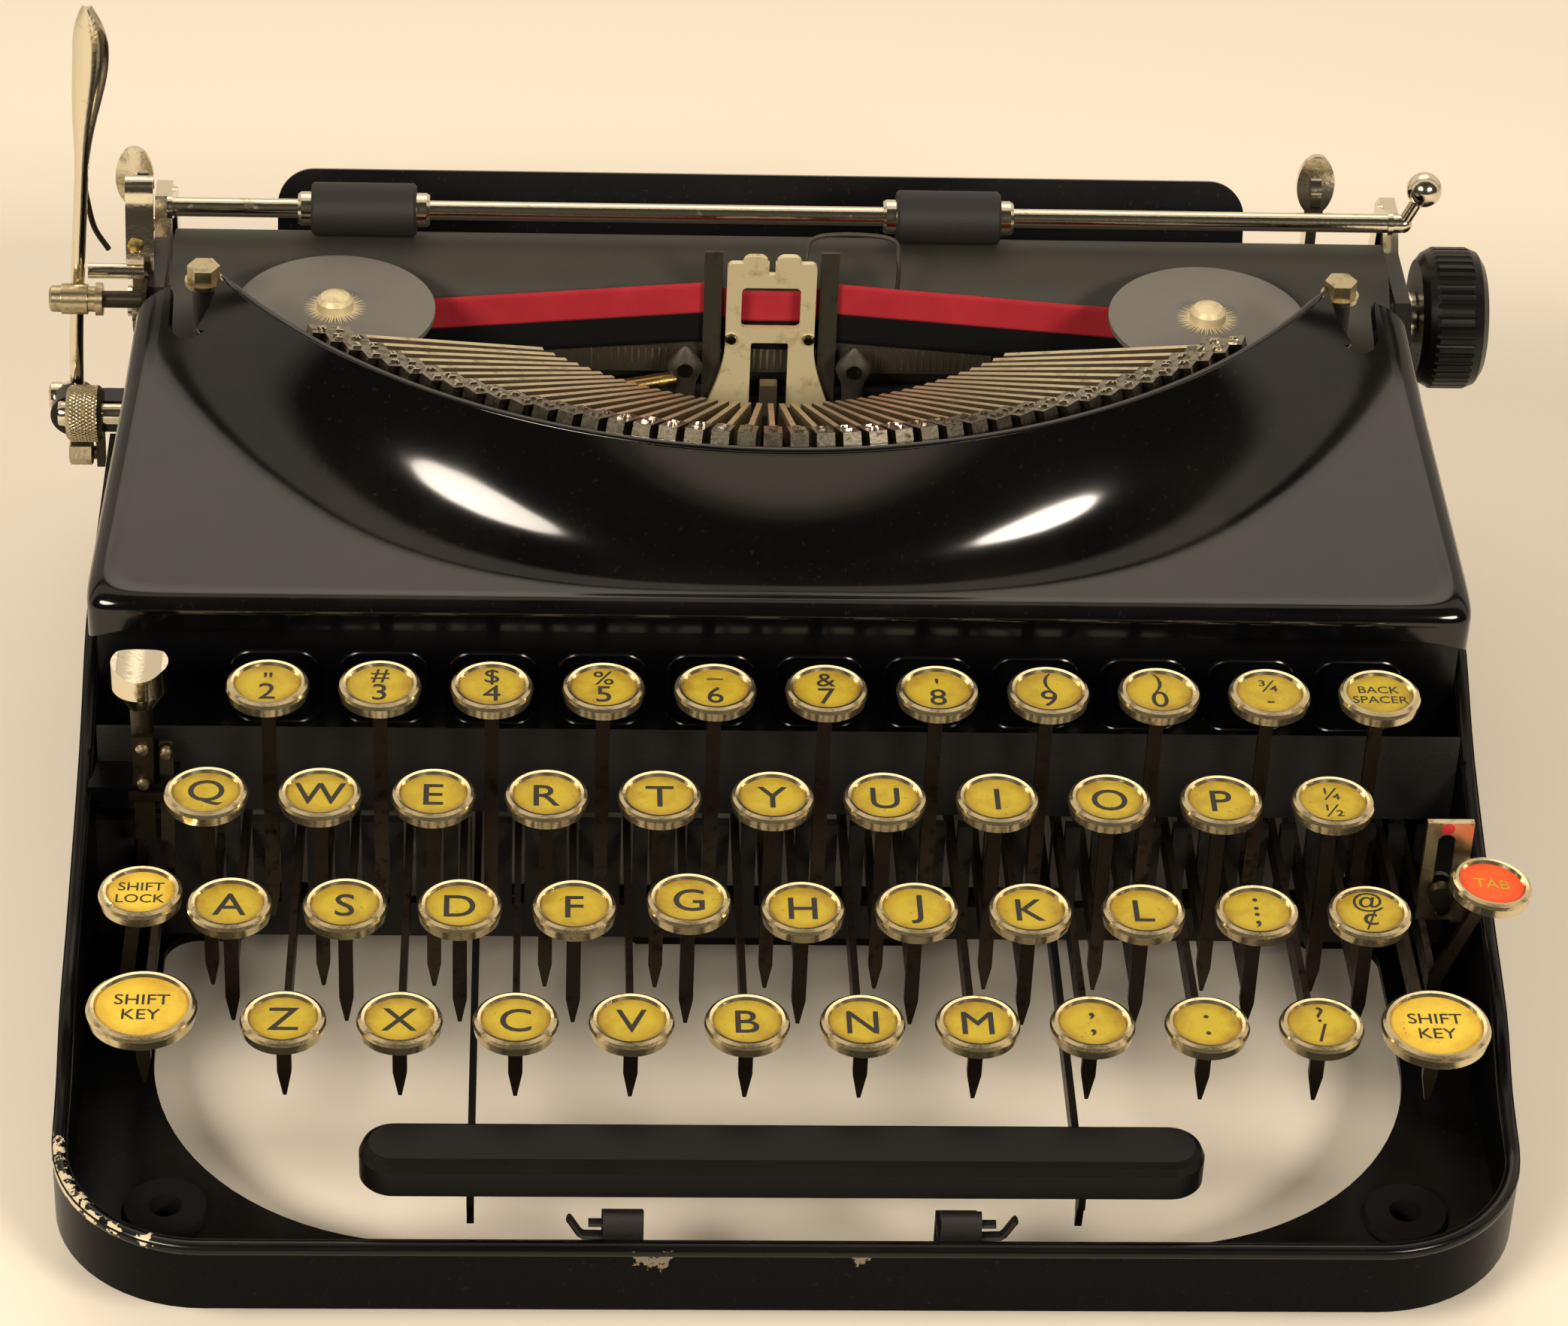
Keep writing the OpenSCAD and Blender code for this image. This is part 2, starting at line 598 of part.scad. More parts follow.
module space_bar() {
  y0 = space_y;
  d = space_d;
  color("#141414") translate([-2, 0, space_z]) hull()
   for (e = [[0, 0.3], [0.4, 0], [5, 0], [6.4, 0.6], [7, 1.6]])
    translate([0, 0, e[0] - (e[0] > 0 ? 0.01 : 0)]) linear_extrude(0.01) offset(-e[1])
      round_rect(-space_bar_l / 2, space_bar_l / 2, y0, y0 + d, d / 2 - 0.01, d / 2 - 0.01);
  for (x = space_arm_x) translate([x, 0, 0]) color("#2b2723") {
    difference() {
      side_plate(-lever_t / 2, lever_t / 2) {
        polygon([[y0 + 2, 23], [fulcrum_y, fulcrum_z - lever_h / 2], [fulcrum_y, fulcrum_z + lever_h / 2],
          [y0 + d, space_z - 0.03], [y0 + 2, space_z - 0.03]]);
        polygon([[y0 + 3, 24], [y0 + 6, 24], [y0 + 4.8, 17.6], [y0 + 4.2, 17.6]]);
        translate([fulcrum_y, fulcrum_z]) circle(eye_r);
      }
      bar_x(-5, 5, fulcrum_y, fulcrum_z, fulcrum_r + play);
    }
  }
}

// Bent straps behind the front wall that the space bar stops on
module space_bar_guides() {
  color("#1a1a1a") for (x = [-28, 27]) side_plate(x - 3.4, x + 3.4) polygon([
    [yf + wall_t, flange_z], [yf + wall_t + 1.4, flange_z], [yf + wall_t + 1.4, flange_z + 7],
    [yf + 12, flange_z + 7], [yf + 12, flange_z + 2], [yf + 13.4, flange_z + 2],
    [yf + 13.4, flange_z + 8.4], [yf + wall_t, flange_z + 8.4]]);
}

module margin_release() {
  color("#cbbf9f") translate([margin_x, -34, 0]) difference() {
    union() {
      translate([0, 0, 41]) cylinder(r = 2, h = 26);
      translate([0, 0, 62]) cylinder(r1 = 2.4, r2 = 4.9, h = 4);
      translate([0, 0, 66]) cylinder(r = 4.9, h = 5);
    }
    bar_y(-6, 6, 0, 78, 8);
  }
}

module selector_plate() {
  color("#bdb29a") {
    face_plate(-58, -56.8) difference() {
      translate([selector_x - 3.6, 36]) square([8, 21]);
      slot([selector_x, 42], [selector_x, 53], 1.5);
    }
    box(selector_x + 3.6, inner_hw, -56.8, -53, 34.5, 38.5);
    box(selector_x + 2.8, selector_x + 4.4, -56.8, -53, 34.5, 44);
  }
}

module selector_lever() {
  color("#a82222") {
    bar_y(-60.2, -55.5, selector_x, 42.5, 1.2);
    bar_y(-60.2, -58 - gap, selector_x, 42.5, 2.2);
    bar_y(-56.8 + gap, -55.5, selector_x, 42.5, 2.2);
  }
}

// Carriage

module shift_frame() {
  color("#7f7a70") {
    for (y = rod_y) bar_x(-114, 114, y, rod_z, rod_r);
    for (s = [-1, 1]) {
      side_plate(s > 0 ? 112 : -115, s > 0 ? 115 : -112) {
        translate([rod_y[0] - 6, 35]) square([rod_y[1] - rod_y[0] + 12, 9]);
        translate([stud_y - 4, 24]) square([8, 12]);
      }
      bar_x(s > 0 ? 114 : -inner_hw - 1.5, s > 0 ? inner_hw + 1.5 : -114, stud_y, stud_z, stud_r);
    }
  }
}

module cheek_outline() {
  polygon([[69.5, bed_z], [106, bed_z], [106, 82], [103, 85], [97, 85], [92, 79], [74, 79], [69.5, 74]]);
}

module carriage_frame() {
  color("#1d1c1a") difference() {
    union() {
      for (x = [left_cheek, right_cheek]) side_plate(x, x + cheek_t) cheek_outline();
      box(left_cheek, right_cheek + cheek_t, 70, 106, bed_z, bed_z + bed_t);
      for (s = [-1, 1], y = rod_y)
        box(s * shoe_x - shoe_l / 2, s * shoe_x + shoe_l / 2, y - 5, y + 5, 35.4, bed_z);
      box(lever_pivot_x, left_cheek, 69.5, 74, lever_pivot_z - 3.5, lever_pivot_z + 3.5);
      bar_y(69.5, 74, lever_pivot_x, lever_pivot_z, lever_pin_r + 2);
      bar_x(left_cheek - 11.5, left_cheek, 79.5, 79, 1.5);
      side_plate(left_cheek - 1, left_cheek) translate([78, 70]) square([10, 12]);
      box(release_x - 3, release_x - gap, 98, 106, bed_z, release_pivot[1] + 5);
    }
    for (y = rod_y) bar_x(-shoe_x - shoe_l, shoe_x + shoe_l, y, rod_z, rod_r + play);
    bar_x(left_cheek - 5, right_cheek + 5, platen_y, platen_z, shaft_r + play);
    for (x = [left_cheek - 1, right_cheek - 1]) {
      bar_x(x, x + cheek_t + 2, bail_pivot[0], bail_pivot[1], bail_pin_r + play);
      bar_x(x, x + cheek_t + 2, platen_y, feed_z, 1.5 + play);
    }
    bar_x(left_cheek - 1, left_cheek + cheek_t + 1, 102, 76, release_pin_r + play);
    bar_x(release_x - 4, release_x, release_pivot[0], release_pivot[1], release_pin_r + play);
    bar_y(60, 80, lever_pivot_x, lever_pivot_z, lever_pin_r + play);
  }
}

module paper_table() {
  color("#141516") translate([0, 97, bed_z + bed_t]) rotate([-21.5, 0, 0]) {
    face_plate(-0.6, 0.6) round_rect(-table_w / 2, table_w / 2, 0.3, 38, 0.5, 7);
  }
}

module platen_roller() {
  color("#2c2b2a") difference() {
    bar_x(platen_x0, platen_x1, platen_y, platen_z, platen_r);
    bar_x(platen_x0 - 1, platen_x1 + 1, platen_y, platen_z, shaft_r);
  }
}

module platen_shaft() {
  color("#b5a98f") {
    bar_x(left_cheek - 4.5, right_cheek + cheek_t + 11, platen_y, platen_z, shaft_r);
    bar_x(right_cheek + cheek_t + gap, right_cheek + cheek_t + 2.2, platen_y, platen_z, shaft_r + 2);
    translate([left_cheek - 3.4, platen_y, platen_z]) rotate([0, 90, 0]) linear_extrude(2) {
      circle(5.2);
      for (i = [0:23]) rotate(i * 15) polygon([[4.9, -0.6], [6.4, 0.5], [4.9, 0.7]]);
    }
  }
}

module platen_knob() {
  color("#151515") translate([right_cheek + cheek_t + 2.5, platen_y, platen_z])
   rotate([0, 90, 0]) difference() {
    rotate_extrude() polygon([[shaft_r + play, 0], [knob_r - 2.5, 0], [knob_r - 1, 1.2], [knob_r, 3],
      [knob_r, knob_w - 3.4],
      [knob_r - 0.8, knob_w - 1.4], [knob_r - 2.6, knob_w - 0.2], [knob_r - 4.5, knob_w], [0, knob_w - 0.8],
      [0, knob_w - 3], [shaft_r + play, knob_w - 3]]);
    for (i = [0:43]) rotate(i * 360 / 44) translate([knob_r + 0.2, 0, 2.2])
      cylinder(r = 0.6, h = knob_w - 5.2, $fn = 8);
  }
}

module feed_roller() {
  color("#2f2d2b") {
    bar_x(left_cheek + 0.5, right_cheek + cheek_t - 0.5, platen_y, feed_z, 1.5);
    for (x = [-85, -30, 25, 80]) bar_x(x, x + 24, platen_y, feed_z, feed_r);
  }
}

module paper_bail() {
  arm = [platen_x0 - 1.25, platen_x1 + 0.25];
  color("#c9bea2") {
    bar_x(arm[0], arm[1] + 3, bail_y, bail_z, bail_r);
    for (x = arm) side_plate(x, x + 1) {
      slot([bail_y, bail_z], [97, 84], 2.2);
      slot([97, 84], bail_pivot, 2.8);
    }
    bar_x(left_cheek + 0.5, arm[0] + 0.5, bail_pivot[0], bail_pivot[1], bail_pin_r);
    bar_x(arm[1] + 0.5, right_cheek + cheek_t - 0.5, bail_pivot[0], bail_pivot[1], bail_pin_r);
    translate([arm[1] + 3, bail_y, bail_z]) {
      sphere(bail_r);
      rotate([0, 24, 0]) cylinder(r = 1.2, h = 6.4);
      translate([3.3, 0, 7.5]) sphere(3.35);
    }
  }
}

module bail_rollers() {
  color("#262524") for (x = roller_x) difference() {
    translate([x - roller_l / 2 - 2.5, bail_y, bail_z]) rotate([0, 90, 0]) rotate_extrude() polygon([[0, 0],
      [2.8, 0], [3.2, 0.6], [3.2, 2.5], [roller_r - 0.5, 2.5], [roller_r, 3], [roller_r, roller_l + 2],
      [roller_r - 0.5, roller_l + 2.5], [3.2, roller_l + 2.5], [3.2, roller_l + 4.4], [2.8, roller_l + 5],
      [0, roller_l + 5]]);
    bar_x(x - roller_l, x + roller_l, bail_y, bail_z, bail_r + play);
  }
}

function lever_axis() = curve([[lever_pivot_x, lever_pivot_z], [-129.8, 70], [-128, 95], [-126.7, 111],
  [-124.8, 126], [-125, lever_top_z]], 4);
function lever_half(z) = 1.3 + 2 * ease(max(0, min(1, (z - 102) / 24))) - 2.5 * pow(max(0, (z - 128) / 9), 2);

module return_lever() {
  axis = lever_axis();
  color("#cfc6b0") {
    face_plate(74.6, 77) {
      polygon(concat([for (p = axis) [p[0] - lever_half(p[1]), p[1]]],
        [for (i = [len(axis) - 1:-1:0]) [axis[i][0] + lever_half(axis[i][1]), axis[i][1]]]));
      translate([lever_pivot_x, lever_pivot_z]) circle(5);
    }
    bar_y(68.5, 76, lever_pivot_x, lever_pivot_z, lever_pin_r);
  }
}

// Thumb lever: arm that turns on a pin along X, and an oval spoon set dx from the arm's middle
module release_lever(x, y, z, h, pin, dx) {
  color("#c4b798") {
    side_plate(x, x + 2) {
      slot([y, z], [y, z + h - 12], 2.6);
      translate([y, z + h - 8]) circle(4);
    }
    translate([x + 1 + dx, y - 1, z + h - 6]) rotate([-8, 0, 0]) face_plate(-1, 0.4) {
      scale([0.6, 1]) circle(spoon_h / 2);
      translate([-1.8, -spoon_h / 2 - 2]) square([3.6, spoon_h / 2]);
    }
    bar_x(min(x, x + pin), max(x, x + pin), y, z, release_pin_r);
  }
}

module release_lever_left() { release_lever(left_cheek - 3.4, 102, 76, 17, 5.6, -1.6); }
module release_lever_right() { release_lever(release_x, release_pivot[0], release_pivot[1], 35, -2.7, 0); }

module mainspring_drum() {
  color("#5d5a54") translate([drum_x, yr - 20, rear_pin_z]) rotate([-90, 0, 0]) rotate_extrude() polygon([
    [rear_pin_r + play, 0], [drum_r - 1.5, 0], [drum_r, 1], [drum_r, 3], [drum_r - 1.4, 4.2],
    [drum_r - 1.4, 9.8],
    [drum_r, 11], [drum_r, 13.5], [rear_pin_r + play, 13.5]]);
}

module bell() {
  color("#a59a80") translate([bell_x, yr - 20, rear_pin_z]) rotate([-90, 0, 0]) difference() {
    intersection() {
      translate([0, 0, 15]) sphere(15);
      cylinder(r = 20, h = 13);
    }
    intersection() {
      translate([0, 0, 15]) sphere(13.6);
      translate([0, 0, 3]) cylinder(r = 20, h = 13);
    }
    translate([0, 0, -1]) cylinder(r = rear_pin_r + play, h = 6);
  }
}

base_frame();
front_hood();
front_panel();
rubber_feet();
hood_studs();
type_segment();
type_bars();
type_bar_g();
type_guide();
ribbon_vibrator();
ribbon();
spool_left();
spool_right();
lever_shaft();
space_bar();
space_bar_guides();
shift_key_left();
shift_key_right();
shift_lock();
tab_key();
back_spacer();
margin_release();
selector_plate();
selector_lever();
shift_frame();
carriage_frame();
paper_table();
platen_roller();
platen_shaft();
platen_knob();
feed_roller();
paper_bail();
bail_rollers();
return_lever();
release_lever_left();
release_lever_right();
mainspring_drum();
bell();
for (g = key_pairs) key_group(g[0]);
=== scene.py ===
import math
import bmesh
import bpy
import numpy as np
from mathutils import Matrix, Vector


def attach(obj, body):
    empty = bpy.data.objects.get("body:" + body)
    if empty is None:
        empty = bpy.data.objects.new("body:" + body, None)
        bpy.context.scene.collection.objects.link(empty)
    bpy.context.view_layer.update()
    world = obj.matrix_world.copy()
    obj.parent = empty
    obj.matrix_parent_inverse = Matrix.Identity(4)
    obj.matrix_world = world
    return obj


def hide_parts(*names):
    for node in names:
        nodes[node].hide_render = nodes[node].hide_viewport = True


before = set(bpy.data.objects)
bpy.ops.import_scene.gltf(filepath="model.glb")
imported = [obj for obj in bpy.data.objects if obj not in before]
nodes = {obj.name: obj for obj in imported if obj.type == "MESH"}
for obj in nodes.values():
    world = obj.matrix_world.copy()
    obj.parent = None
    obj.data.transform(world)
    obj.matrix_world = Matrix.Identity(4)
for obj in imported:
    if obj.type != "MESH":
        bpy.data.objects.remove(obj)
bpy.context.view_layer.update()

scene = bpy.context.scene
mm = 0.001

# camera, fitted to the rows of keys
photoCamera = {
    "place": (-43.12, -731.85, 577.70), "turn": (54.093, -2.1038, -1.9644), "lens": 115.673,
    "sensor": 36, "far": 30}
cameraData = bpy.data.cameras.new("photoCamera")
cameraData.sensor_fit = "HORIZONTAL"
cameraData.sensor_width = photoCamera["sensor"]
cameraData.lens = photoCamera["lens"]
cameraData.clip_end = photoCamera["far"]
camera = bpy.data.objects.new("photoCamera", cameraData)
camera.location = [c * mm for c in photoCamera["place"]]
camera.rotation_euler = [math.radians(a) for a in photoCamera["turn"]]
scene.collection.objects.link(camera)
scene.camera = camera
scene.view_settings.view_transform = "Standard"
print("camera set")


# sRGB hex to linear colour
def tint(code):
    raw = np.array([int(code[i:i + 2], 16) for i in (1, 3, 5)]) / 255
    lin = np.where(raw <= 0.04045, raw / 12.92, ((raw + 0.055) / 1.055) ** 2.4)
    return (*[float(c) for c in lin], 1.0)


# noise scale for a pattern of this size in mm
def cells(size):
    return 1 / (size * mm)


# adds one node, sets its properties and sockets, and links its inputs to sockets or to nodes' first outputs
def addNode(tree, kind, settings=None, links=None):
    node = tree.nodes.new("ShaderNode" + kind)
    for key, value in (settings or {}).items():
        if isinstance(key, str) and hasattr(node, key):
            setattr(node, key, value)
        else:
            node.inputs[key].default_value = value
    for key, source in (links or {}).items():
        tree.links.new(getattr(source, "outputs", [source])[0], node.inputs[key])
    return node


def startMaterial(name, settings):
    mat = bpy.data.materials.new(name)
    mat.use_nodes = True
    tree = mat.node_tree
    tree.nodes.clear()
    shader = addNode(tree, "BsdfPrincipled", settings)
    addNode(tree, "OutputMaterial", None, {"Surface": shader})
    coords = addNode(tree, "TexCoord")
    return mat, tree, shader, coords.outputs["Object"]


# links the colour, the roughness and a bump of this strength and depth (mm) to the shader
def finishMaterial(tree, shader, colour, relief, strength, depth, rough=None):
    bump = addNode(tree, "Bump", {"Strength": strength, "Distance": depth * mm}, {"Height": relief.outputs["Fac"]})
    tree.links.new(bump.outputs[0], shader.inputs["Normal"])
    tree.links.new(colour.outputs[2], shader.inputs["Base Color"])
    if rough:
        tree.links.new(rough.outputs[0], shader.inputs["Roughness"])


# stove enamel: deep black with a wet gloss, dust lying on it in patches 35 mm wide and specks of 1 mm,
# chipped to pale primer in flakes of 1.6 mm round each of the chips: (middle, reach)
def enamel(name, black, dust, gloss, shine, coat=0.0, chips=(), primer="#a99a82"):
    mat, tree, shader, place = startMaterial(
        name, {"IOR": 1.5, "Specular IOR Level": shine, "Coat Weight": coat, "Coat Roughness": 0.03})
    patches = addNode(tree, "TexNoise", {"Scale": cells(35), "Detail": 6.0, "Roughness": 0.62}, {"Vector": place})
    specks = addNode(tree, "TexNoise", {"Scale": cells(1.0), "Detail": 2.0, "Roughness": 0.6}, {"Vector": place})
    facing = addNode(tree, "NewGeometry")
    up = addNode(tree, "SeparateXYZ", None, {0: facing.outputs["Normal"]})
    lying = addNode(tree, "MapRange", {"From Min": 0.55, "From Max": 1.0}, {"Value": up.outputs["Z"]})
    cloud = addNode(tree, "MapRange", {"From Min": 0.42, "From Max": 0.72, "To Max": dust}, {"Value": patches})
    film = addNode(tree, "Math", {"operation": "MULTIPLY"}, {0: lying, 1: cloud})
    grain = addNode(tree, "MapRange", {"From Min": 0.64, "From Max": 0.76, "To Max": dust * 0.8}, {"Value": specks})
    film = addNode(tree, "Math", {"operation": "ADD", "use_clamp": True}, {0: film, 1: grain})
    colour = addNode(tree, "Mix", {"data_type": "RGBA", 6: tint(black), 7: tint("#6d6250")}, {0: film})
    wear = None
    for middle, reach in chips:
        away = addNode(tree, "VectorMath", {"operation": "DISTANCE", 1: [c * mm for c in middle]}, {0: place})
        near = addNode(tree, "MapRange", {"From Max": reach * mm, "To Min": 0.3, "To Max": -0.3},
                       {"Value": away.outputs["Value"]})
        both = {0: wear, 1: near} if wear else None
        wear = addNode(tree, "Math", {"operation": "MAXIMUM"}, both) if wear else near
    if wear:
        flake = addNode(tree, "TexNoise", {"Scale": cells(1.6), "Detail": 4.0, "Roughness": 0.65}, {"Vector": place})
        total = addNode(tree, "Math", {"operation": "ADD"}, {0: flake, 1: wear})
        bare = addNode(tree, "MapRange", {"From Min": 0.62, "From Max": 0.65}, {"Value": total})
        colour = addNode(tree, "Mix", {"data_type": "RGBA", 7: tint(primer)}, {0: bare, 6: colour.outputs[2]})
    rough = addNode(tree, "MapRange", {"To Min": gloss, "To Max": gloss + 0.12}, {"Value": patches})
    wave = addNode(tree, "TexNoise", {"Scale": cells(16), "Detail": 2.0}, {"Vector": place})
    finishMaterial(tree, shader, colour, wave, 0.02, 2.0, rough)
    return mat


# worn metal plate: bright where rubbed, brown and dull in blotches of the given size, with pits of 0.7 mm
def wornMetal(name, bright, tarnish, low, high, blotch, amount, metal=1.0):
    mat, tree, shader, place = startMaterial(name, {"Metallic": metal})
    stain = addNode(tree, "TexNoise", {"Scale": cells(blotch), "Detail": 5.0, "Roughness": 0.65}, {"Vector": place})
    pits = addNode(tree, "TexNoise", {"Scale": cells(0.7), "Detail": 3.0}, {"Vector": place})
    where = addNode(tree, "MapRange", {"From Min": 0.62 - amount, "From Max": 0.78 - amount * 0.6}, {"Value": stain})
    colour = addNode(tree, "Mix", {"data_type": "RGBA", 6: tint(bright), 7: tint(tarnish)}, {0: where})
    rough = addNode(tree, "MapRange", {"To Min": low, "To Max": high}, {"Value": where})
    finishMaterial(tree, shader, colour, pits, 0.06, 0.4, rough)
    return mat


# rubber, resin, paint and cast iron: colour broken in clouds of 20 mm, and a matt or satin face of the given grain
def mattStuff(name, dark, pale, low, high, grain, relief, shine=0.5):
    mat, tree, shader, place = startMaterial(name, {"IOR": 1.5, "Specular IOR Level": shine})
    cloud = addNode(tree, "TexNoise", {"Scale": cells(20), "Detail": 6.0, "Roughness": 0.65}, {"Vector": place})
    fine = addNode(tree, "TexNoise", {"Scale": cells(grain), "Detail": 3.0}, {"Vector": place})
    colour = addNode(tree, "Mix", {"data_type": "RGBA", 6: tint(dark), 7: tint(pale)}, {0: cloud})
    rough = addNode(tree, "MapRange", {"To Min": low, "To Max": high}, {"Value": cloud})
    finishMaterial(tree, shader, colour, fine, relief, 0.3, rough)
    return mat


# key card: yellowed paper under clear celluloid, browner in blotches of 5 mm, in flecks and towards the ring
def cardPaper(name, pale, aged):
    mat, tree, shader, place = startMaterial(
        name, {"Roughness": 0.5, "Coat Weight": 0.12, "Coat Roughness": 0.12, "Specular IOR Level": 0.25})
    blotch = addNode(tree, "TexNoise", {"Scale": cells(5), "Detail": 5.0, "Roughness": 0.62}, {"Vector": place})
    spots = addNode(tree, "TexNoise", {"Scale": cells(0.9), "Detail": 2.0}, {"Vector": place})
    rim = addNode(tree, "Attribute", {"attribute_name": "span"}).outputs["Fac"]
    edge = addNode(tree, "MapRange", {"From Min": 0.62, "From Max": 1.0, "To Max": 0.65}, {"Value": rim})
    age = addNode(tree, "MapRange", {"From Min": 0.45, "From Max": 0.75, "To Max": 0.75}, {"Value": blotch})
    both = addNode(tree, "Math", {"operation": "ADD", "use_clamp": True}, {0: edge, 1: age})
    colour = addNode(tree, "Mix", {"data_type": "RGBA", 6: tint(pale), 7: tint(aged)}, {0: both})
    fleck = addNode(tree, "MapRange", {"From Min": 0.68, "From Max": 0.76, "To Max": 0.6}, {"Value": spots})
    colour = addNode(tree, "Mix", {"data_type": "RGBA", 7: tint("#5c4512")}, {0: fleck, 6: colour.outputs[2]})
    tree.links.new(colour.outputs[2], shader.inputs["Base Color"])
    return mat


# inked cotton ribbon: red in its upper half, black below, woven at 0.4 mm, drawn at 1.4 mm so that it shows
def ribbonCloth():
    mat, tree, shader, place = startMaterial("twoColourRibbon", {"Roughness": 0.8, "Specular IOR Level": 0.15})
    height = addNode(tree, "Attribute", {"attribute_name": "span"}).outputs["Fac"]
    upper = addNode(tree, "MapRange", {"From Min": 0.48, "From Max": 0.52}, {"Value": height})
    wear = addNode(tree, "TexNoise", {"Scale": cells(8), "Detail": 5.0}, {"Vector": place})
    red = addNode(tree, "Mix", {"data_type": "RGBA", 6: tint("#861c24"), 7: tint("#a82a33")}, {0: wear})
    colour = addNode(tree, "Mix", {"data_type": "RGBA", 6: tint("#080707")}, {0: upper, 7: red.outputs[2]})
    weave = addNode(tree, "TexWave", {"Scale": cells(1.4), "Distortion": 0.5}, {"Vector": place})
    finishMaterial(tree, shader, colour, weave, 0.15, 0.2)
    return mat


# worn spots round the left front corner, by angle, and three on the front wall
worn = {
    "middle": (-96, -101.5, 22.0), "radius": 25.9, "angles": (178, 186, 193, 201, 208, 216, 225, 236, 249),
    "reach": (4.5, 6.0, 5.0, 7.0, 5.5, 6.5, 5.0, 4.5, 4.0),
    "front": (((-25, -127.5, 20), 4.6), ((-21.6, -127.5, 20.4), 5), ((10.8, -127.5, 20.2), 3.6))}
wornX, wornY, wornZ = worn["middle"]
cornerWear = [((wornX + worn["radius"] * math.cos(a), wornY + worn["radius"] * math.sin(a), wornZ), reach)
              for a, reach in zip(np.radians(worn["angles"]), worn["reach"])]
hoodEnamel = enamel("blackHoodEnamel", "#050506", 0.06, 0.045, 0.42, 0.06)
panelEnamel = enamel("blackPanelEnamel", "#050506", 0.04, 0.12, 0.3)
baseEnamel = enamel("blackBaseEnamel", "#060607", 0.04, 0.2, 0.05, primer="#6a5f52", chips=worn["front"])
edgeEnamel = enamel("wornEdgeEnamel", "#060607", 0.04, 0.14, 0.25, chips=cornerWear, primer="#c2b595")
carriageEnamel = enamel("blackCarriageEnamel", "#070709", 0.12, 0.2, 0.35)
nickel = wornMetal("agedNickelPlate", "#d8cfb9", "#8a7a58", 0.14, 0.42, 5.0, 0.02)
ringNickel = wornMetal("rubbedRingNickel", "#cbbd97", "#8c7b54", 0.16, 0.34, 3.0, 0.04, 0.95)
dullNickel = wornMetal("handledNickel", "#b5a888", "#6f6040", 0.28, 0.5, 3.0, 0.1)
guideNickel = wornMetal("dullGuideNickel", "#cbbd97", "#9a875c", 0.42, 0.6, 4.0, 0.08, 0.35)
typeSteel = wornMetal("typeBarSteel", "#cfc2a2", "#8b7b57", 0.34, 0.55, 4.0, 0.1)
slugSteel = wornMetal("inkedSlugSteel", "#8a8272", "#2a2620", 0.26, 0.5, 1.6, 0.16)
faceSteel = wornMetal("typeFaceSteel", "#c8c0ae", "#5a5346", 0.16, 0.36, 1.2, 0.05)
forkSteel = wornMetal("dustyForkSteel", "#37332a", "#211e19", 0.5, 0.7, 4.0, 0.1, 0.4)
darkSteel = wornMetal("oiledSteel", "#3f3a2f", "#1f1b16", 0.4, 0.65, 4.0, 0.1)
# dark steel of the stems and levers, darkened further to paint the shade among them inside the base
stemSteelAndShade = wornMetal("stemSteelWithPaintedShade", "#3b332b", "#181411", 0.42, 0.68, 3.0, 0.1)
brass = wornMetal("oldBrass", "#b39a5c", "#6b5730", 0.25, 0.5, 3.0, 0.08)
bellMetal = wornMetal("bellMetal", "#a8966a", "#5e5136", 0.25, 0.45, 6.0, 0.06)
# black of the castings, also used for the screen plate that paints the shade among the levers
castIronAndShade = mattStuff("blackCastingAndShade", "#090808", "#141210", 0.5, 0.75, 0.6, 0.3, 0.3)
platenRubber = mattStuff("platenRubber", "#23221d", "#34322b", 0.5, 0.7, 0.5, 0.12, 0.35)
rollerRubber = mattStuff("bailRubber", "#151413", "#211f1d", 0.5, 0.7, 0.4, 0.2, 0.35)
footRubber = mattStuff("footRubber", "#0b0a0a", "#151312", 0.6, 0.8, 0.5, 0.25, 0.1)
knobResin = mattStuff("blackKnobResin", "#070707", "#0e0d0d", 0.22, 0.34, 0.5, 0.02, 0.2)
barResin = mattStuff("spaceBarResin", "#070707", "#100f0e", 0.32, 0.46, 0.5, 0.02, 0.12)
spoolGrey = mattStuff("spoolGreyEnamel", "#4f4b46", "#69645c", 0.38, 0.55, 0.4, 0.04)
woundCloth = mattStuff("woundRibbon", "#140d0e", "#241416", 0.75, 0.9, 0.3, 0.3, 0.2)
letterInk = mattStuff("letterInk", "#0c0a08", "#1a1610", 0.45, 0.6, 0.3, 0.02)
redDot = mattStuff("redDotEnamel", "#8d1419", "#a81d22", 0.3, 0.5, 0.3, 0.03)
yellowCard = cardPaper("yellowKeyCard", "#b09a22", "#8c6f14")
brightCard = cardPaper("brightKeyCard", "#d4b636", "#b99226")
orangeCard = cardPaper("orangeKeyCard", "#f0541c", "#cf3f10")
print("materials made")


# gives a CAD node its finishes; rule(x, y, z) of the face middles, in mm, picks the finish
def dress(name, finishes, rule=None):
    mesh = nodes[name].data
    mesh.materials.clear()
    for finish in finishes:
        mesh.materials.append(finish)
    count = len(mesh.polygons)
    index = np.zeros(count, np.int32)
    if rule:
        middle = np.zeros(count * 3)
        mesh.polygons.foreach_get("center", middle)
        x, y, z = middle.reshape(-1, 3).T / mm
        index = rule(x, y, z).astype(np.int32)
    mesh.polygons.foreach_set("material_index", index)


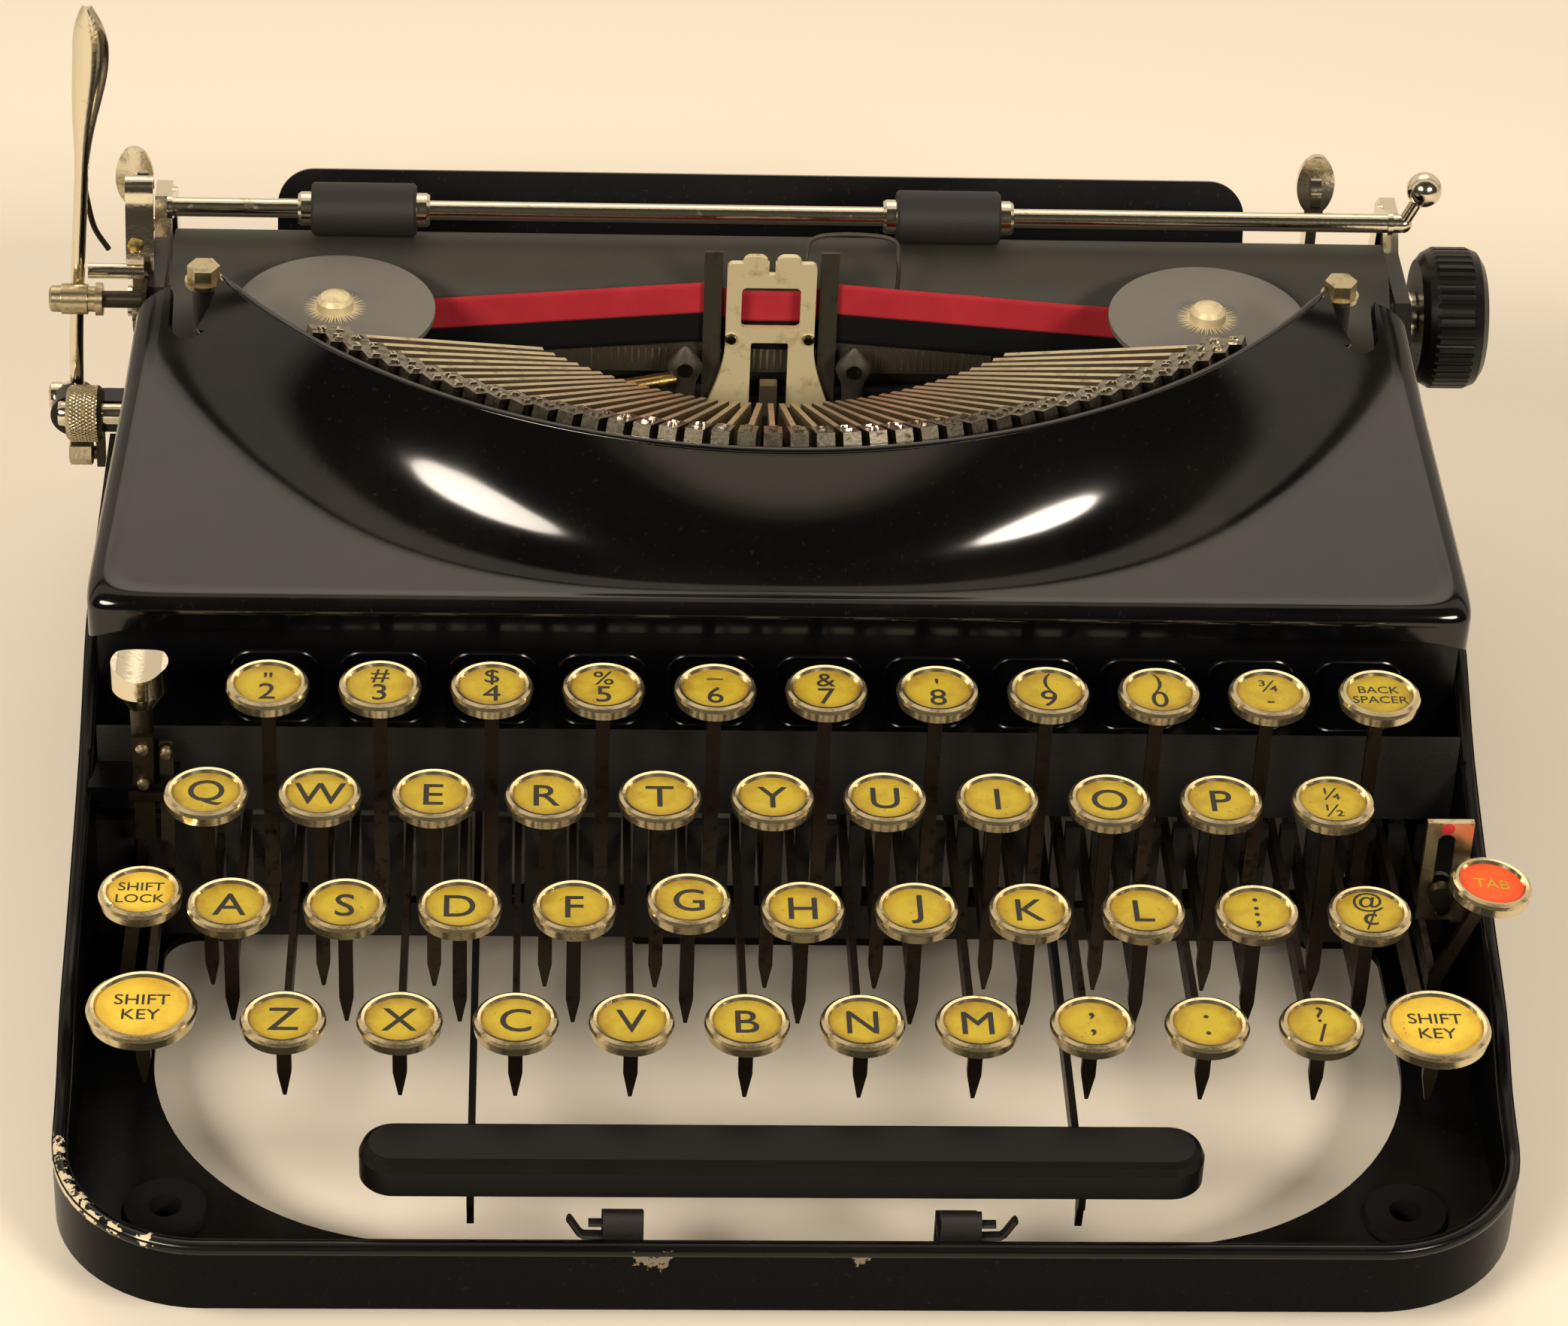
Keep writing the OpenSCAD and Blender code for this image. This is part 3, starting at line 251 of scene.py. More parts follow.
# joins parts (points in mm, faces, finish number) into one mesh object at the origin
def makePiece(name, parts, finishes, body, closed=True, sharp=35, span=None):
    points, faces, finish, start = [], [], [], 0
    for part in parts:
        points.append(np.asarray(part[0], float))
        faces += [[int(i) + start for i in face] for face in part[1]]
        finish += [part[2] if len(part) > 2 else 0] * len(part[1])
        start += len(part[0])
    mesh = bpy.data.meshes.new(name)
    mesh.from_pydata((np.concatenate(points) * mm).tolist(), [], faces)
    mesh.polygons.foreach_set("material_index", np.array(finish, np.int32))
    if span is not None:
        mesh.attributes.new("span", "FLOAT", "POINT").data.foreach_set("value", np.asarray(span, np.float32))
    if closed:
        work = bmesh.new()
        work.from_mesh(mesh)
        bmesh.ops.remove_doubles(work, verts=work.verts, dist=1e-6)
        bmesh.ops.recalc_face_normals(work, faces=work.faces)
        work.to_mesh(mesh)
        work.free()
    mesh.polygons.foreach_set("use_smooth", np.ones(len(mesh.polygons), bool))
    mesh.update()
    mesh.set_sharp_from_angle(angle=math.radians(sharp))
    for one in finishes:
        mesh.materials.append(one)
    piece = bpy.data.objects.new(name, mesh)
    scene.collection.objects.link(piece)
    if body:
        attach(piece, body)
    return piece


# angles round a circle in even steps, as a row
def circle(steps):
    return np.linspace(0, 2 * np.pi, steps, endpoint=False)[None, :]


# quads of a grid of rows by columns, closed round along the columns if asked
def gridFaces(rows, columns, wrap=False):
    i = np.arange(rows - 1)
    j = np.arange(columns if wrap else columns - 1)
    i, j = np.meshgrid(i, j, indexing="ij")
    here, over = i * columns + j, i * columns + (j + 1) % columns
    return np.stack([here, over, over + columns, here + columns], -1).reshape(-1, 4).tolist()


# faces that close the first and last row of a grid
def endFaces(rows, columns, first=True):
    near, far = list(range(columns)), [(rows - 1) * columns + j for j in range(columns)]
    return [near] * first + [far]


# smooth line through points: each span is a cubic of its four nearest points
def smoothLine(points, steps):
    p = np.asarray(points, float)
    p = np.concatenate([2 * p[:1] - p[1:2], p, 2 * p[-1:] - p[-2:-1]])
    t = np.linspace(0, 1, steps, endpoint=False)[None, :, None]
    a, b, c, d = (p[i:len(p) - 3 + i, None, :] for i in range(4))
    line = 0.5 * (2 * b + (c - a) * t + (2 * a - 5 * b + 4 * c - d) * t ** 2 + (3 * b - a - 3 * c + d) * t ** 3)
    return np.concatenate([line.reshape(-1, p.shape[1]), p[-2:-1]])


# tube: a circle or oval carried along a path, its flat side towards the direction up
def tube(path, radius, up=(0, 0, 1), sides=16, flat=1.0, loop=False):
    path = np.asarray(path, float)
    along = np.roll(path, -1, 0) - np.roll(path, 1, 0) if loop else np.gradient(path, axis=0)
    across = np.cross(along, up)
    across /= np.linalg.norm(across, axis=1)[:, None]
    over = np.cross(across, along)
    over /= np.linalg.norm(over, axis=1)[:, None]
    a = circle(sides)[..., None]
    r = np.broadcast_to(np.asarray(radius, float), len(path))[:, None, None]
    ring = path[:, None] + r * (np.cos(a) * across[:, None] + flat * np.sin(a) * over[:, None])
    if loop:
        faces = (np.array(gridFaces(len(path) + 1, sides, True)) % (len(path) * sides)).tolist()
    else:
        faces = gridFaces(len(path), sides, True) + endFaces(len(path), sides)
    return ring.reshape(-1, 3), faces


# turned part: a profile of (radius, height) spun round x or y; the radius may vary round it
def turned(profile, middle, axis, steps, ripple=None):
    r, h = (np.tile(c[:, None], steps) for c in np.asarray(profile, float).T)
    a = circle(steps)
    if ripple:
        r = r * ripple(a, h)
    u, v = r * np.cos(a), r * np.sin(a)
    points = np.stack({"x": (h, u, v), "y": (u, h, v)}[axis], -1).reshape(-1, 3) + middle
    return points, gridFaces(len(r), steps, True) + endFaces(len(r), steps)


# strip: a rectangle of this width (along x) and thickness carried along a path in the y-z plane
def strip(path, x, width, thick):
    path = np.asarray(path, float)
    along = np.gradient(path, axis=0)
    along /= np.linalg.norm(along, axis=1)[:, None]
    side = np.stack([-along[:, 1], along[:, 0]], 1) * thick / 2
    corner = np.array([[-1, -1], [1, -1], [1, 1], [-1, 1]])
    across = np.broadcast_to(x + corner[None, :, 0] * width / 2, (len(path), 4))
    yz = path[:, None] + corner[None, :, 1, None] * side[:, None]
    points = np.concatenate([across[..., None], yz], -1).reshape(-1, 3)
    return points, gridFaces(len(path), 4, True) + endFaces(len(path), 4)


# block between two corners
def block(low, high):
    pick = np.array([[0, 0, 0], [1, 0, 0], [1, 1, 0], [0, 1, 0], [0, 0, 1], [1, 0, 1], [1, 1, 1], [0, 1, 1]])
    points = np.where(pick, high, low)
    return points, [[0, 3, 2, 1], [4, 5, 6, 7], [0, 1, 5, 4], [1, 2, 6, 5], [2, 3, 7, 6], [3, 0, 4, 7]]


# smooth step from 0 to 1
def ease(t):
    t = np.clip(t, 0, 1)
    return t * t * (3 - 2 * t)


# HOOD: a section along each ray from the collar's axis, sheet metal with a rounded lip, notched by the studs
hood = {
    "rimR": 120.0, "rimZ": 97.0, "rimY": -6.5, "filletMid": 10.0, "filletSide": 21.0, "spread": 36.0,
    "power": 2.6, "lipZ": 74.0, "slope": 0.277, "sheet": 1.6, "edge": 3.2, "sideEdge": 5.4, "round": 3.2,
    "turn": 0.8, "lipY": -20.0, "halfWidth": 121.5, "taper": 0.083, "drop": 6.0, "seat": 62.0,
    "notch": (105.4, 42.3), "notchR": 4.3, "rear": 60.0, "hornTip": 57.3, "flare": 5.0, "fill": 0.65,
    "bead": 0.95, "beadIn": 0.8}


def makeHood(h):
    axisY = h["rimY"] + h["rimR"]
    creaseY = h["lipY"] + h["edge"]
    corner = math.atan(h["halfWidth"] / (axisY - h["lipY"]))
    notchX, notchY = h["notch"]
    notchAway = math.hypot(notchX, axisY - notchY)
    notchTurn = math.atan2(notchX, axisY - notchY)
    notchR, rimR = h["notchR"], h["rimR"]
    start = notchTurn - math.asin(notchR / notchAway)
    split = math.sqrt(notchAway ** 2 - notchR ** 2)
    rear, tip = math.radians(h["rear"]), math.radians(h["hornTip"])

    # deck height plus a rise to the rim that is a power of the distance left
    def topZ(a, r):
        wide = h["filletMid"] + (h["filletSide"] - h["filletMid"]) * ease(np.degrees(np.abs(a)) / h["spread"])
        deck = h["lipZ"] + h["slope"] * (axisY - r * np.cos(a) - creaseY)
        return deck + (h["rimZ"] - deck) * np.clip(1 - (r - rimR) / wide, 0, 1) ** h["power"]

    # lip: a smooth minimum of the front and side lines, bent down over a quarter circle
    def lip(a):
        flat = np.abs(a)
        front = (axisY - h["lipY"]) / np.cos(a)
        side = (h["halfWidth"] - h["taper"] * (axisY - h["lipY"])) / (np.sin(flat) - h["taper"] * np.cos(a))
        side = np.where(flat < 0.35, 1e6, side)
        outer = np.exp(100 - front / h["round"]) + np.exp(100 - side / h["round"])
        outer = h["round"] * (100 - np.log(outer))
        turn = 1 / (1 + np.exp(-np.degrees(flat - corner) / h["turn"]))
        edge = h["edge"] + (h["sideEdge"] - h["edge"]) * turn
        thin = edge - h["sheet"]
        k = (1 - turn) / np.cos(a) + turn / np.maximum(np.sin(flat), 0.3)
        foot = (1 - turn) * (h["lipZ"] - h["drop"]) + turn * h["seat"]
        edgeR = outer - edge * k
        z = topZ(a, edgeR)
        bend = np.radians(np.linspace(10, 90, 9))[None, :]
        radius = np.concatenate([edgeR + edge * k * np.sin(bend), outer, outer - h["sheet"] * k,
                                 (edgeR + thin * k * np.sin(bend))[:, ::-1]], 1)
        height = np.concatenate([z - edge * (1 - np.cos(bend)), foot, foot,
                                 (z - h["sheet"] - thin * (1 - np.cos(bend)))[:, ::-1]], 1)
        return edgeR, (radius, height)

    # closed shell: the upper skin, the lip, and a lower skin a sheet's thickness square to the upper one
    def shell(a, r, bent, end):
        z = topZ(a, r)
        slope = (topZ(a, r + 0.05) - topZ(a, r - 0.05)) / 0.1
        c = h["sheet"] / np.sqrt(1 + slope ** 2)
        radius = np.concatenate([r, bent[0], (r + slope * c)[:, ::-1]], 1)
        height = np.concatenate([z, bent[1], (z - c)[:, ::-1]], 1)
        points = np.stack([radius * np.sin(a), axisY - radius * np.cos(a), height], -1).reshape(-1, 3)
        return points, gridFaces(*radius.shape, True) + (endFaces(*radius.shape, first=False) if end else [])

    # where a ray crosses the notch's outer (1) or inner (-1) side: its circle, then that with the wall behind
    def notchSide(a, way):
        off = np.abs(a) - notchTurn
        half = np.sqrt(np.maximum(0, notchR ** 2 - (notchAway * np.sin(off)) ** 2))
        ring = notchAway * np.cos(off) + way * half
        wall = (notchX + way * notchR) / np.sin(np.abs(a))
        behind = wall * np.cos(a) < axisY - notchY
        return ring, np.where(behind, way * np.maximum(way * ring, way * wall), ring)

    def between(low, high, count):
        return low + (high - low) * np.linspace(0, 1, count)[None, :]

    degrees = math.degrees(corner)
    half = np.concatenate([np.linspace(0, degrees - 4, 56), np.linspace(degrees - 3.7, degrees + 3.7, 41),
                           np.linspace(degrees + 4, math.degrees(start), 30)])
    a = np.radians(np.concatenate([-half[:0:-1], half]))[:, None]
    edgeR, bent = lip(a)
    r = np.concatenate([between(rimR + 0 * a, split, 19), between(split + 0 * a, edgeR, 29)[:, 1:]], 1)
    parts = [shell(a, r, bent, False)]
    s = np.linspace(0, 1, 18)[:, None] ** 2
    for sign in (-1, 1):
        # past the notch: the strip outside it, then the horn inside it
        a = sign * (start + (rear - start) * s)
        edgeR, bent = lip(a)
        parts.append(shell(a, between(notchSide(a, 1)[1], edgeR, 29), bent, True))
        # the horn's flank sweeps outwards to the foot of the notch
        a = sign * (start + (tip - start) * s)
        near, far = notchSide(a, -1)[1], notchSide(a, 1)[0]
        tipY = axisY - rimR * math.cos(tip)
        footY = notchY - notchR
        flank = near
        for n in range(6):
            climb = np.clip((axisY - flank * np.cos(a) - footY) / (tipY - footY), 0, 1)
            flank = (notchX - notchR + h["flare"] * (1 - climb) ** 2) / np.sin(np.abs(a))
        near = np.maximum(near, np.minimum(flank, near + (far - near) * h["fill"]))
        r = between(rimR + 0 * a, np.maximum(near, rimR + 0.02), 19)
        parts.append(shell(a, r, (r[:, :0], r[:, :0]), True))
    # bead rolled over the rim, thinner at the horns
    a = np.linspace(-tip, tip, 161)
    size = h["bead"] * np.clip((math.radians(h["hornTip"] + 0.3) - np.abs(a)) / 0.05, 0.3, 1)
    r = rimR - h["beadIn"]
    line = np.stack([r * np.sin(a), axisY - r * np.cos(a), h["rimZ"] - size * 0.6], 1)
    return parts + [tube(line, size, sides=12)]


hoodPiece = makePiece("pressedHood", makeHood(hood), [hoodEnamel], "base", sharp=50)
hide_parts("front_hood")
print("hood made")

# BASE EDGE: a bead along the top of the walls, in front of the hood and behind it
baseEdge = {
    "x": 120.75, "front": -126.25, "frontR": 24.75, "frontZ": 22.0, "back": 126.25, "backR": 10.75,
    "hood": -8.0, "step": 59.0, "rearZ": 42.0, "bead": 1.35, "sink": 0.9,
    "side": ((-104, 22.6), (-92, 26.5), (-80, 33.5), (-60, 39), (-30, 49), (-12, 59), (-2, 62))}


# straight run, quarter circle and half of the end wall, then the same mirrored
def edgeLine(e, startY, endY, radius):
    way = math.copysign(1, endY - startY)
    a = np.linspace(0, np.pi / 2, 24)
    run = np.linspace(startY, endY - way * radius, 60)[:-1]
    x = np.concatenate([np.full(len(run), e["x"]), e["x"] - radius * (1 - np.cos(a)),
                        np.linspace(e["x"] - radius, 0, 20)[1:]])
    y = np.concatenate([run, endY - way * radius * (1 - np.sin(a)), np.full(19, endY)])
    return np.concatenate([-x, x[-2::-1]]), np.concatenate([y, y[-2::-1]])


def makeBaseEdge(e):
    side = np.concatenate([[(-130, e["frontZ"])], smoothLine(e["side"], 12)])
    x, y = edgeLine(e, e["hood"], e["front"], e["frontR"])
    front = np.stack([x, y, np.interp(y, side[:, 0], side[:, 1]) - e["sink"]], 1)
    x, y = edgeLine(e, e["step"], e["back"], e["backR"])
    rear = np.stack([x, y, np.full(len(x), e["rearZ"] - e["sink"])], 1)
    return [tube(front, e["bead"]), tube(rear, e["bead"])]


makePiece("baseTopEdge", makeBaseEdge(baseEdge), [edgeEnamel], "base")
print("base edge made")

# CAD nodes that keep their shape: their finishes, and the rule for where the second or third goes
spoolRule = lambda x, y, z: np.where(
    z < 84.9, 2, np.where((z > 86) & (np.hypot(np.abs(x) - 80.4, y - 56.4) < 4.6), 1, 0))
cheekRule = lambda x, y, z: ((x < -117.1) & (np.hypot(y - 79.5, z - 79) < 2.2)) | (z > 79.5)
solids = (
    ("base_frame", [baseEnamel]),
    ("front_panel", [panelEnamel]),
    ("rubber_feet", [footRubber]),
    ("hood_studs", [dullNickel, castIronAndShade], lambda x, y, z: z < 92.3),
    ("type_bars type_bar_g", [typeSteel, slugSteel], lambda x, y, z: np.hypot(x, y - 113.5) > 106.6),
    ("type_guide", [guideNickel]),
    ("ribbon_vibrator", [forkSteel]),
    ("spool_left spool_right", [spoolGrey, guideNickel, woundCloth], spoolRule),
    ("lever_shaft", [typeSteel, castIronAndShade], lambda x, y, z: y < 0),
    # the space bar's lower part in the stem steel darkened with painted shade
    ("space_bar", [barResin, stemSteelAndShade], lambda x, y, z: z < 26.99),
    ("type_segment space_bar_guides", [castIronAndShade]),
    ("margin_release", [nickel, darkSteel], lambda x, y, z: z < 62),
    ("selector_plate", [dullNickel]),
    ("selector_lever mainspring_drum", [darkSteel]),
    ("shift_frame", [typeSteel]),
    ("carriage_frame", [carriageEnamel, nickel], cheekRule),
    ("paper_table", [carriageEnamel]),
    ("platen_roller", [platenRubber]),
    ("platen_knob", [knobResin]),
    ("feed_roller", [rollerRubber]),
    ("platen_shaft paper_bail release_lever_left release_lever_right", [nickel]),
    ("bail_rollers", [rollerRubber, nickel], lambda x, y, z: np.hypot(y - 85.5, z - 89.6) < 3.4),
    ("bell", [bellMetal]))
for names, *look in solids:
    for name in names.split():
        dress(name, *look)
print("solids dressed")

# KEYS: four rows, each a body with the legends of its keys
keyboard = {
    "pitch": 19.05, "rowY": -38.0, "rowZ": 70.0, "step": 8.7, "firstX": (-88.6, -98.15, -93.4, -83.9),
    "ring": 7.1, "shiftRing": 9.15, "ringOut": 1.5, "ringDeep": 4.4, "bent": {"G": 1.6}}
keyRows = (
    (("key_2_3", ('"', "2"), ("#", "3")), ("key_4_5", ("$", "4"), ("%", "5")), ("key_6_7", ("_", "6"), ("&", "7")),
     ("key_8_9", ("'", "8"), ("(", "9")), ("key_0_dash", (")", "0"), ("¾", "-")),
     ("back_spacer", ("BACK", "SPACER"))),
    (("key_q_w", "Q", "W"), ("key_e_r", "E", "R"), ("key_t_y", "T", "Y"), ("key_u_i", "U", "I"),
     ("key_o_p", "O", "P"), ("key_half", ("¼", "½"))),
    (("key_a_s", "A", "S"), ("key_d_f", "D", "F"), ("key_g", "G"), ("key_h_j", "H", "J"), ("key_k_l", "K", "L"),
     ("key_colon_at", (":", ";"), ("@", "¢"))),
    (("key_z_x", "Z", "X"), ("key_c_v", "C", "V"), ("key_b_n", "B", "N"), ("key_m_comma", "M", (",", ",")),
     ("key_stop_slash", (".", "."), ("?", "/"))))
# (body, x, y, top, ring radius, legend, tilt) of every key, those at the sides last
keyList = []
for row, line in enumerate(keyRows):
    y, z = keyboard["rowY"] - row * keyboard["pitch"], keyboard["rowZ"] - row * keyboard["step"]
    for column, (body, legend) in enumerate((body, legend) for body, *legends in line for legend in legends):
        x = keyboard["firstX"][row] + column * keyboard["pitch"]
        keyList.append((body, x, y, z + keyboard["bent"].get(legend, 0.0), keyboard["ring"], legend, 0.0))
keyList += [("shift_key_left", -107.2, -92.25, 43.9, keyboard["shiftRing"], ("SHIFT", "KEY"), 0.0),
            ("shift_key_right", 106.7, -95.15, 43.9, keyboard["shiftRing"], ("SHIFT", "KEY"), 0.0),
            ("shift_lock", -108.5, -71.1, 51.0, keyboard["ring"], ("SHIFT", "LOCK"), 0.0),
            ("tab_key", 119.5, -66.1, 51.0, keyboard["ring"], ("TAB",), 6.0)]


# nickel on the rings of these keys, steel darkened with painted shade on the rest
def ringRule(tops):
    out, deep = keyboard["ringOut"], keyboard["ringDeep"]
    return lambda x, y, z: np.min([(np.hypot(x - kx, y - ky) >= kr + out) | (z <= kz - deep)
                                   for kx, ky, kz, kr in tops], axis=0)


for body in sorted({k[0] for k in keyList}):
    dress(body, [ringNickel, stemSteelAndShade], ringRule([k[1:5] for k in keyList if k[0] == body]))

# KEY FACES: sizes in mm of the cards and of each kind of legend
card = {
    "recess": 0.66, "lift": 0.05, "layer": 0.004, "rim": 1.55, "bold": 0.005, "letter": 8.2, "figure": 6.4,
    "figureUp": -1.9, "sign": 5.4, "signUp": 2.7, "fraction": 4.6, "fractionUp": (2.2, -2.4), "stop": 6.5,
    "stopUp": (2.0, -2.2), "word": 3.1, "longWord": 0.9, "loneWord": 1.1, "shiftWord": 3.7,
    "wordUp": (0.5, -0.52)}
wordMeshes = {}


# card: a flat disc of rings, with the distance from its middle kept for the colour
def cardDisc(radius, rings=7, steps=40):
    t = np.linspace(0.02, 1, rings)[:, None]
    a = circle(steps)
    points = np.stack([radius * t * np.cos(a), radius * t * np.sin(a), np.zeros((rings, steps))], -1).reshape(-1, 3)
    faces = [f[::-1] for f in gridFaces(rings, steps, True)] + [list(range(steps))]
    return points, faces, np.broadcast_to(t, (rings, steps)).reshape(-1)


# a word as a flat mesh, its middle at the origin, size in mm
def wordMesh(word, size):
    if (word, size) not in wordMeshes:
        curve = bpy.data.curves.new("word", "FONT")
        curve.body = word
        curve.size = size
        curve.resolution_u = 4
        holder = bpy.data.objects.new("word", curve)
        scene.collection.objects.link(holder)
        bpy.context.view_layer.update()
        flat = bpy.data.meshes.new_from_object(holder.evaluated_get(bpy.context.evaluated_depsgraph_get()))
        points = np.zeros(len(flat.vertices) * 3)
        flat.vertices.foreach_get("co", points)
        points = points.reshape(-1, 3)
        faces = [list(p.vertices) for p in flat.polygons]
        bpy.data.objects.remove(holder)
        bpy.data.meshes.remove(flat)
        bpy.data.curves.remove(curve)
        wordMeshes[(word, size)] = (points - (points.max(0) + points.min(0)) / 2, faces)
    return wordMeshes[(word, size)]


# (word, size, height above the middle) for each line of a legend
def legendLines(legend, ring):
    if isinstance(legend, str):
        return [(legend, card["letter"], 0.0)]
    if len(legend[0]) > 1:
        size = card["shiftWord"] if ring > keyboard["ring"] else card["word"]
        if len(legend) == 1:
            return [(legend[0], size * card["loneWord"], 0.0)]
        size *= card["longWord"] if max(map(len, legend)) > 5 else 1
        return [(word, size, size * up) for word, up in zip(legend, card["wordUp"])]
    for signs, kind in (("¼½¾", "fraction"), (":,.", "stop")):
        if legend[0] in signs:
            return [(word, card[kind], up) for word, up in zip(legend, card[kind + "Up"])]
    return [(legend[0], card["sign"], card["signUp"]), (legend[1], card["figure"], card["figureUp"])]


def placeKeyFaces():
    cards, inks, spans = {}, {}, {}
    for body, x, y, z, ring, legend, tilt in keyList:
        c, s = math.cos(math.radians(tilt)), math.sin(math.radians(tilt))
        turn = np.array([[c, 0, s], [0, 1, 0], [-s, 0, c]]).T
        points, faces, span = cardDisc(ring - card["rim"])
        cards.setdefault(body, []).append(((points - [0, 0, card["recess"]]) @ turn + [x, y, z], faces))
        spans.setdefault(body, []).append(span)
        for word, size, up in legendLines(legend, ring):
            points, faces = wordMesh(word, size)
            bold, sunk = size * card["bold"], card["lift"] - card["recess"]
            # four copies a little apart thicken the strokes
            for n, (dx, dy) in enumerate(((-1, 0), (1, 0), (0, -1), (0, 1))):
                shift = [dx * bold, up + dy * bold, sunk + card["layer"] * n]
                inks.setdefault(body, []).append(((points + shift) @ turn + [x, y, z], faces))
    for body in cards:
        orange = body == "tab_key"
        paper = orangeCard if orange else brightCard if body.startswith("shift") else yellowCard
        makePiece("card_" + body, cards[body], [paper], body, closed=False, span=np.concatenate(spans[body]))
        makePiece("legend_" + body, inks[body], [yellowCard if orange else letterInk], body, closed=False)


placeKeyFaces()
print("key faces made")

# RIBBON: a band that climbs from the spools to the forks and dips at the window, red above and black below
ribbon = {
    "spoolX": 80.4, "y": 67.2, "edge": 80.0, "climb": 5.8, "forkX": 12.0, "dip": 1.7, "dipRun": 6.0,
    "wide": 12.7, "ripple": 0.07, "rows": 13, "thick": 0.18}


def makeRibbon(r):
    x = np.concatenate([np.linspace(-r["spoolX"], -r["forkX"], 50), np.linspace(-r["forkX"], r["forkX"], 61)[1:-1],
                        np.linspace(r["forkX"], r["spoolX"], 50)])[:, None]
    top = r["edge"] + r["climb"] * np.clip((r["spoolX"] - np.abs(x)) / (r["spoolX"] - r["forkX"]), 0, 1)
    top = top - r["dip"] * ease((r["forkX"] - np.abs(x)) / r["dipRun"])
    v = np.linspace(0, 1, r["rows"])[None, :]
    y = r["y"] + r["ripple"] * np.sin(x * 0.21) * (v - 0.5)
    points = np.stack(np.broadcast_arrays(x, y, top - r["wide"] * (1 - v)), -1)
    return points.reshape(-1, 3), gridFaces(len(x), r["rows"]), np.broadcast_to(v, (len(x), r["rows"])).reshape(-1)


*band, bandSpan = makeRibbon(ribbon)
ribbonPiece = makePiece("inkedRibbon", [band], [ribbonCloth()], "base", closed=False, span=bandSpan)
cloth = ribbonPiece.modifiers.new("cloth", "SOLIDIFY")
cloth.thickness = ribbon["thick"] * mm
cloth.offset = 0
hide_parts("ribbon")
print("ribbon made")

# TYPE FACES: two small raised signs on top of each slug, made of three strokes
typeFan = {
    "half": 46.4, "count": 42, "moving": 20, "ringR": 114.5, "axisY": 113.5, "rimZ": 97.0, "sag": 2.5,
    "printY": 62.0, "printZ": 80.6, "printRise": 2.4, "pivot": 0.56, "pivotIn": 0.07, "back": 1.2,
    "seat": 0.95, "stroke": 0.42, "tall": 1.7, "wide": 1.6, "high": 0.5, "taper": 0.8, "signs": (1.9, 5.3)}


def makeTypeFaces(f):
    i = np.arange(f["count"])
    a = np.radians(-f["half"] + 2 * f["half"] * i / (f["count"] - 1))
    q = (a / np.radians(f["half"])) ** 2
    slug = np.stack([f["ringR"] * np.sin(a), f["axisY"] - f["ringR"] * np.cos(a), f["rimZ"] - f["sag"] * q], 1)
    run = np.hypot(slug[:, 0], f["printY"] - slug[:, 1])
    tilt = np.arctan2(f["printZ"] + f["printRise"] * q - slug[:, 2], run * (f["pivot"] - f["pivotIn"] * q))
    heading = np.stack([-slug[:, 0], f["printY"] - slug[:, 1]], 1) / run[:, None]
    flat = np.concatenate([heading, np.zeros((len(i), 1))], 1)
    along = flat * np.cos(tilt)[:, None] + np.array([0, 0, 1.0]) * np.sin(tilt)[:, None]
    across = np.stack([-heading[:, 1], heading[:, 0], np.zeros(len(i))], 1)
    up = np.cross(along, across)
    start = slug - f["back"] * flat
    # each stroke is (middle along, middle across, half length along, half length across), varied from slug to slug
    s, t, w = f["stroke"] / 2, f["tall"] / 2, f["wide"] / 2
    shift = (i * 7 % 5 - 2) / 2
    boxes = []
    for n, place in enumerate(f["signs"]):
        kind = (i * 3 + n) % 4
        boxes += [np.stack([place + 0 * i, np.where(kind == 0, 0, -w + s), t + 0 * i, s + 0 * i], 1),
                  np.stack([place + np.where(kind % 2 == 0, t - s, 0), 0 * i, s + 0 * i, w + 0 * i], 1),
                  np.stack([place + shift * 0.3, np.where(kind == 3, w - s, 0.3 * shift),
                            np.where(kind == 3, t, s), np.where(kind == 3, s, w * 0.7)], 1)]
    box = np.stack(boxes, 1)
    ring = np.array([[-1, -1], [1, -1], [1, 1], [-1, 1]])
    pick = np.concatenate([ring, ring * f["taper"]])
    u = box[:, :, None, 0] + pick[:, 0] * box[:, :, None, 2]
    v = box[:, :, None, 1] + pick[:, 1] * box[:, :, None, 3]
    rise = np.broadcast_to(f["seat"] + np.repeat((0, 1), 4) * f["high"], u.shape)
    points = (start[:, None, None] + u[..., None] * along[:, None, None] + v[..., None] * across[:, None, None]
              + rise[..., None] * up[:, None, None])
    sides = np.array([[4, 5, 6, 7], [0, 1, 5, 4], [1, 2, 6, 5], [2, 3, 7, 6], [3, 0, 4, 7], [3, 2, 1, 0]])
    return points, sides


def placeTypeFaces(f):
    points, sides = makeTypeFaces(f)
    moving = np.arange(f["count"]) == f["moving"]
    for name, rows, body in (("typeFaces", ~moving, "base"), ("typeFaceG", moving, "type_bar_g")):
        chosen = points[rows].reshape(-1, 3)
        faces = (np.arange(len(chosen) // 8)[:, None, None] * 8 + sides).reshape(-1, 4).tolist()
        makePiece(name, [(chosen, faces)], [faceSteel], body)


placeTypeFaces(typeFan)
print("type faces made")

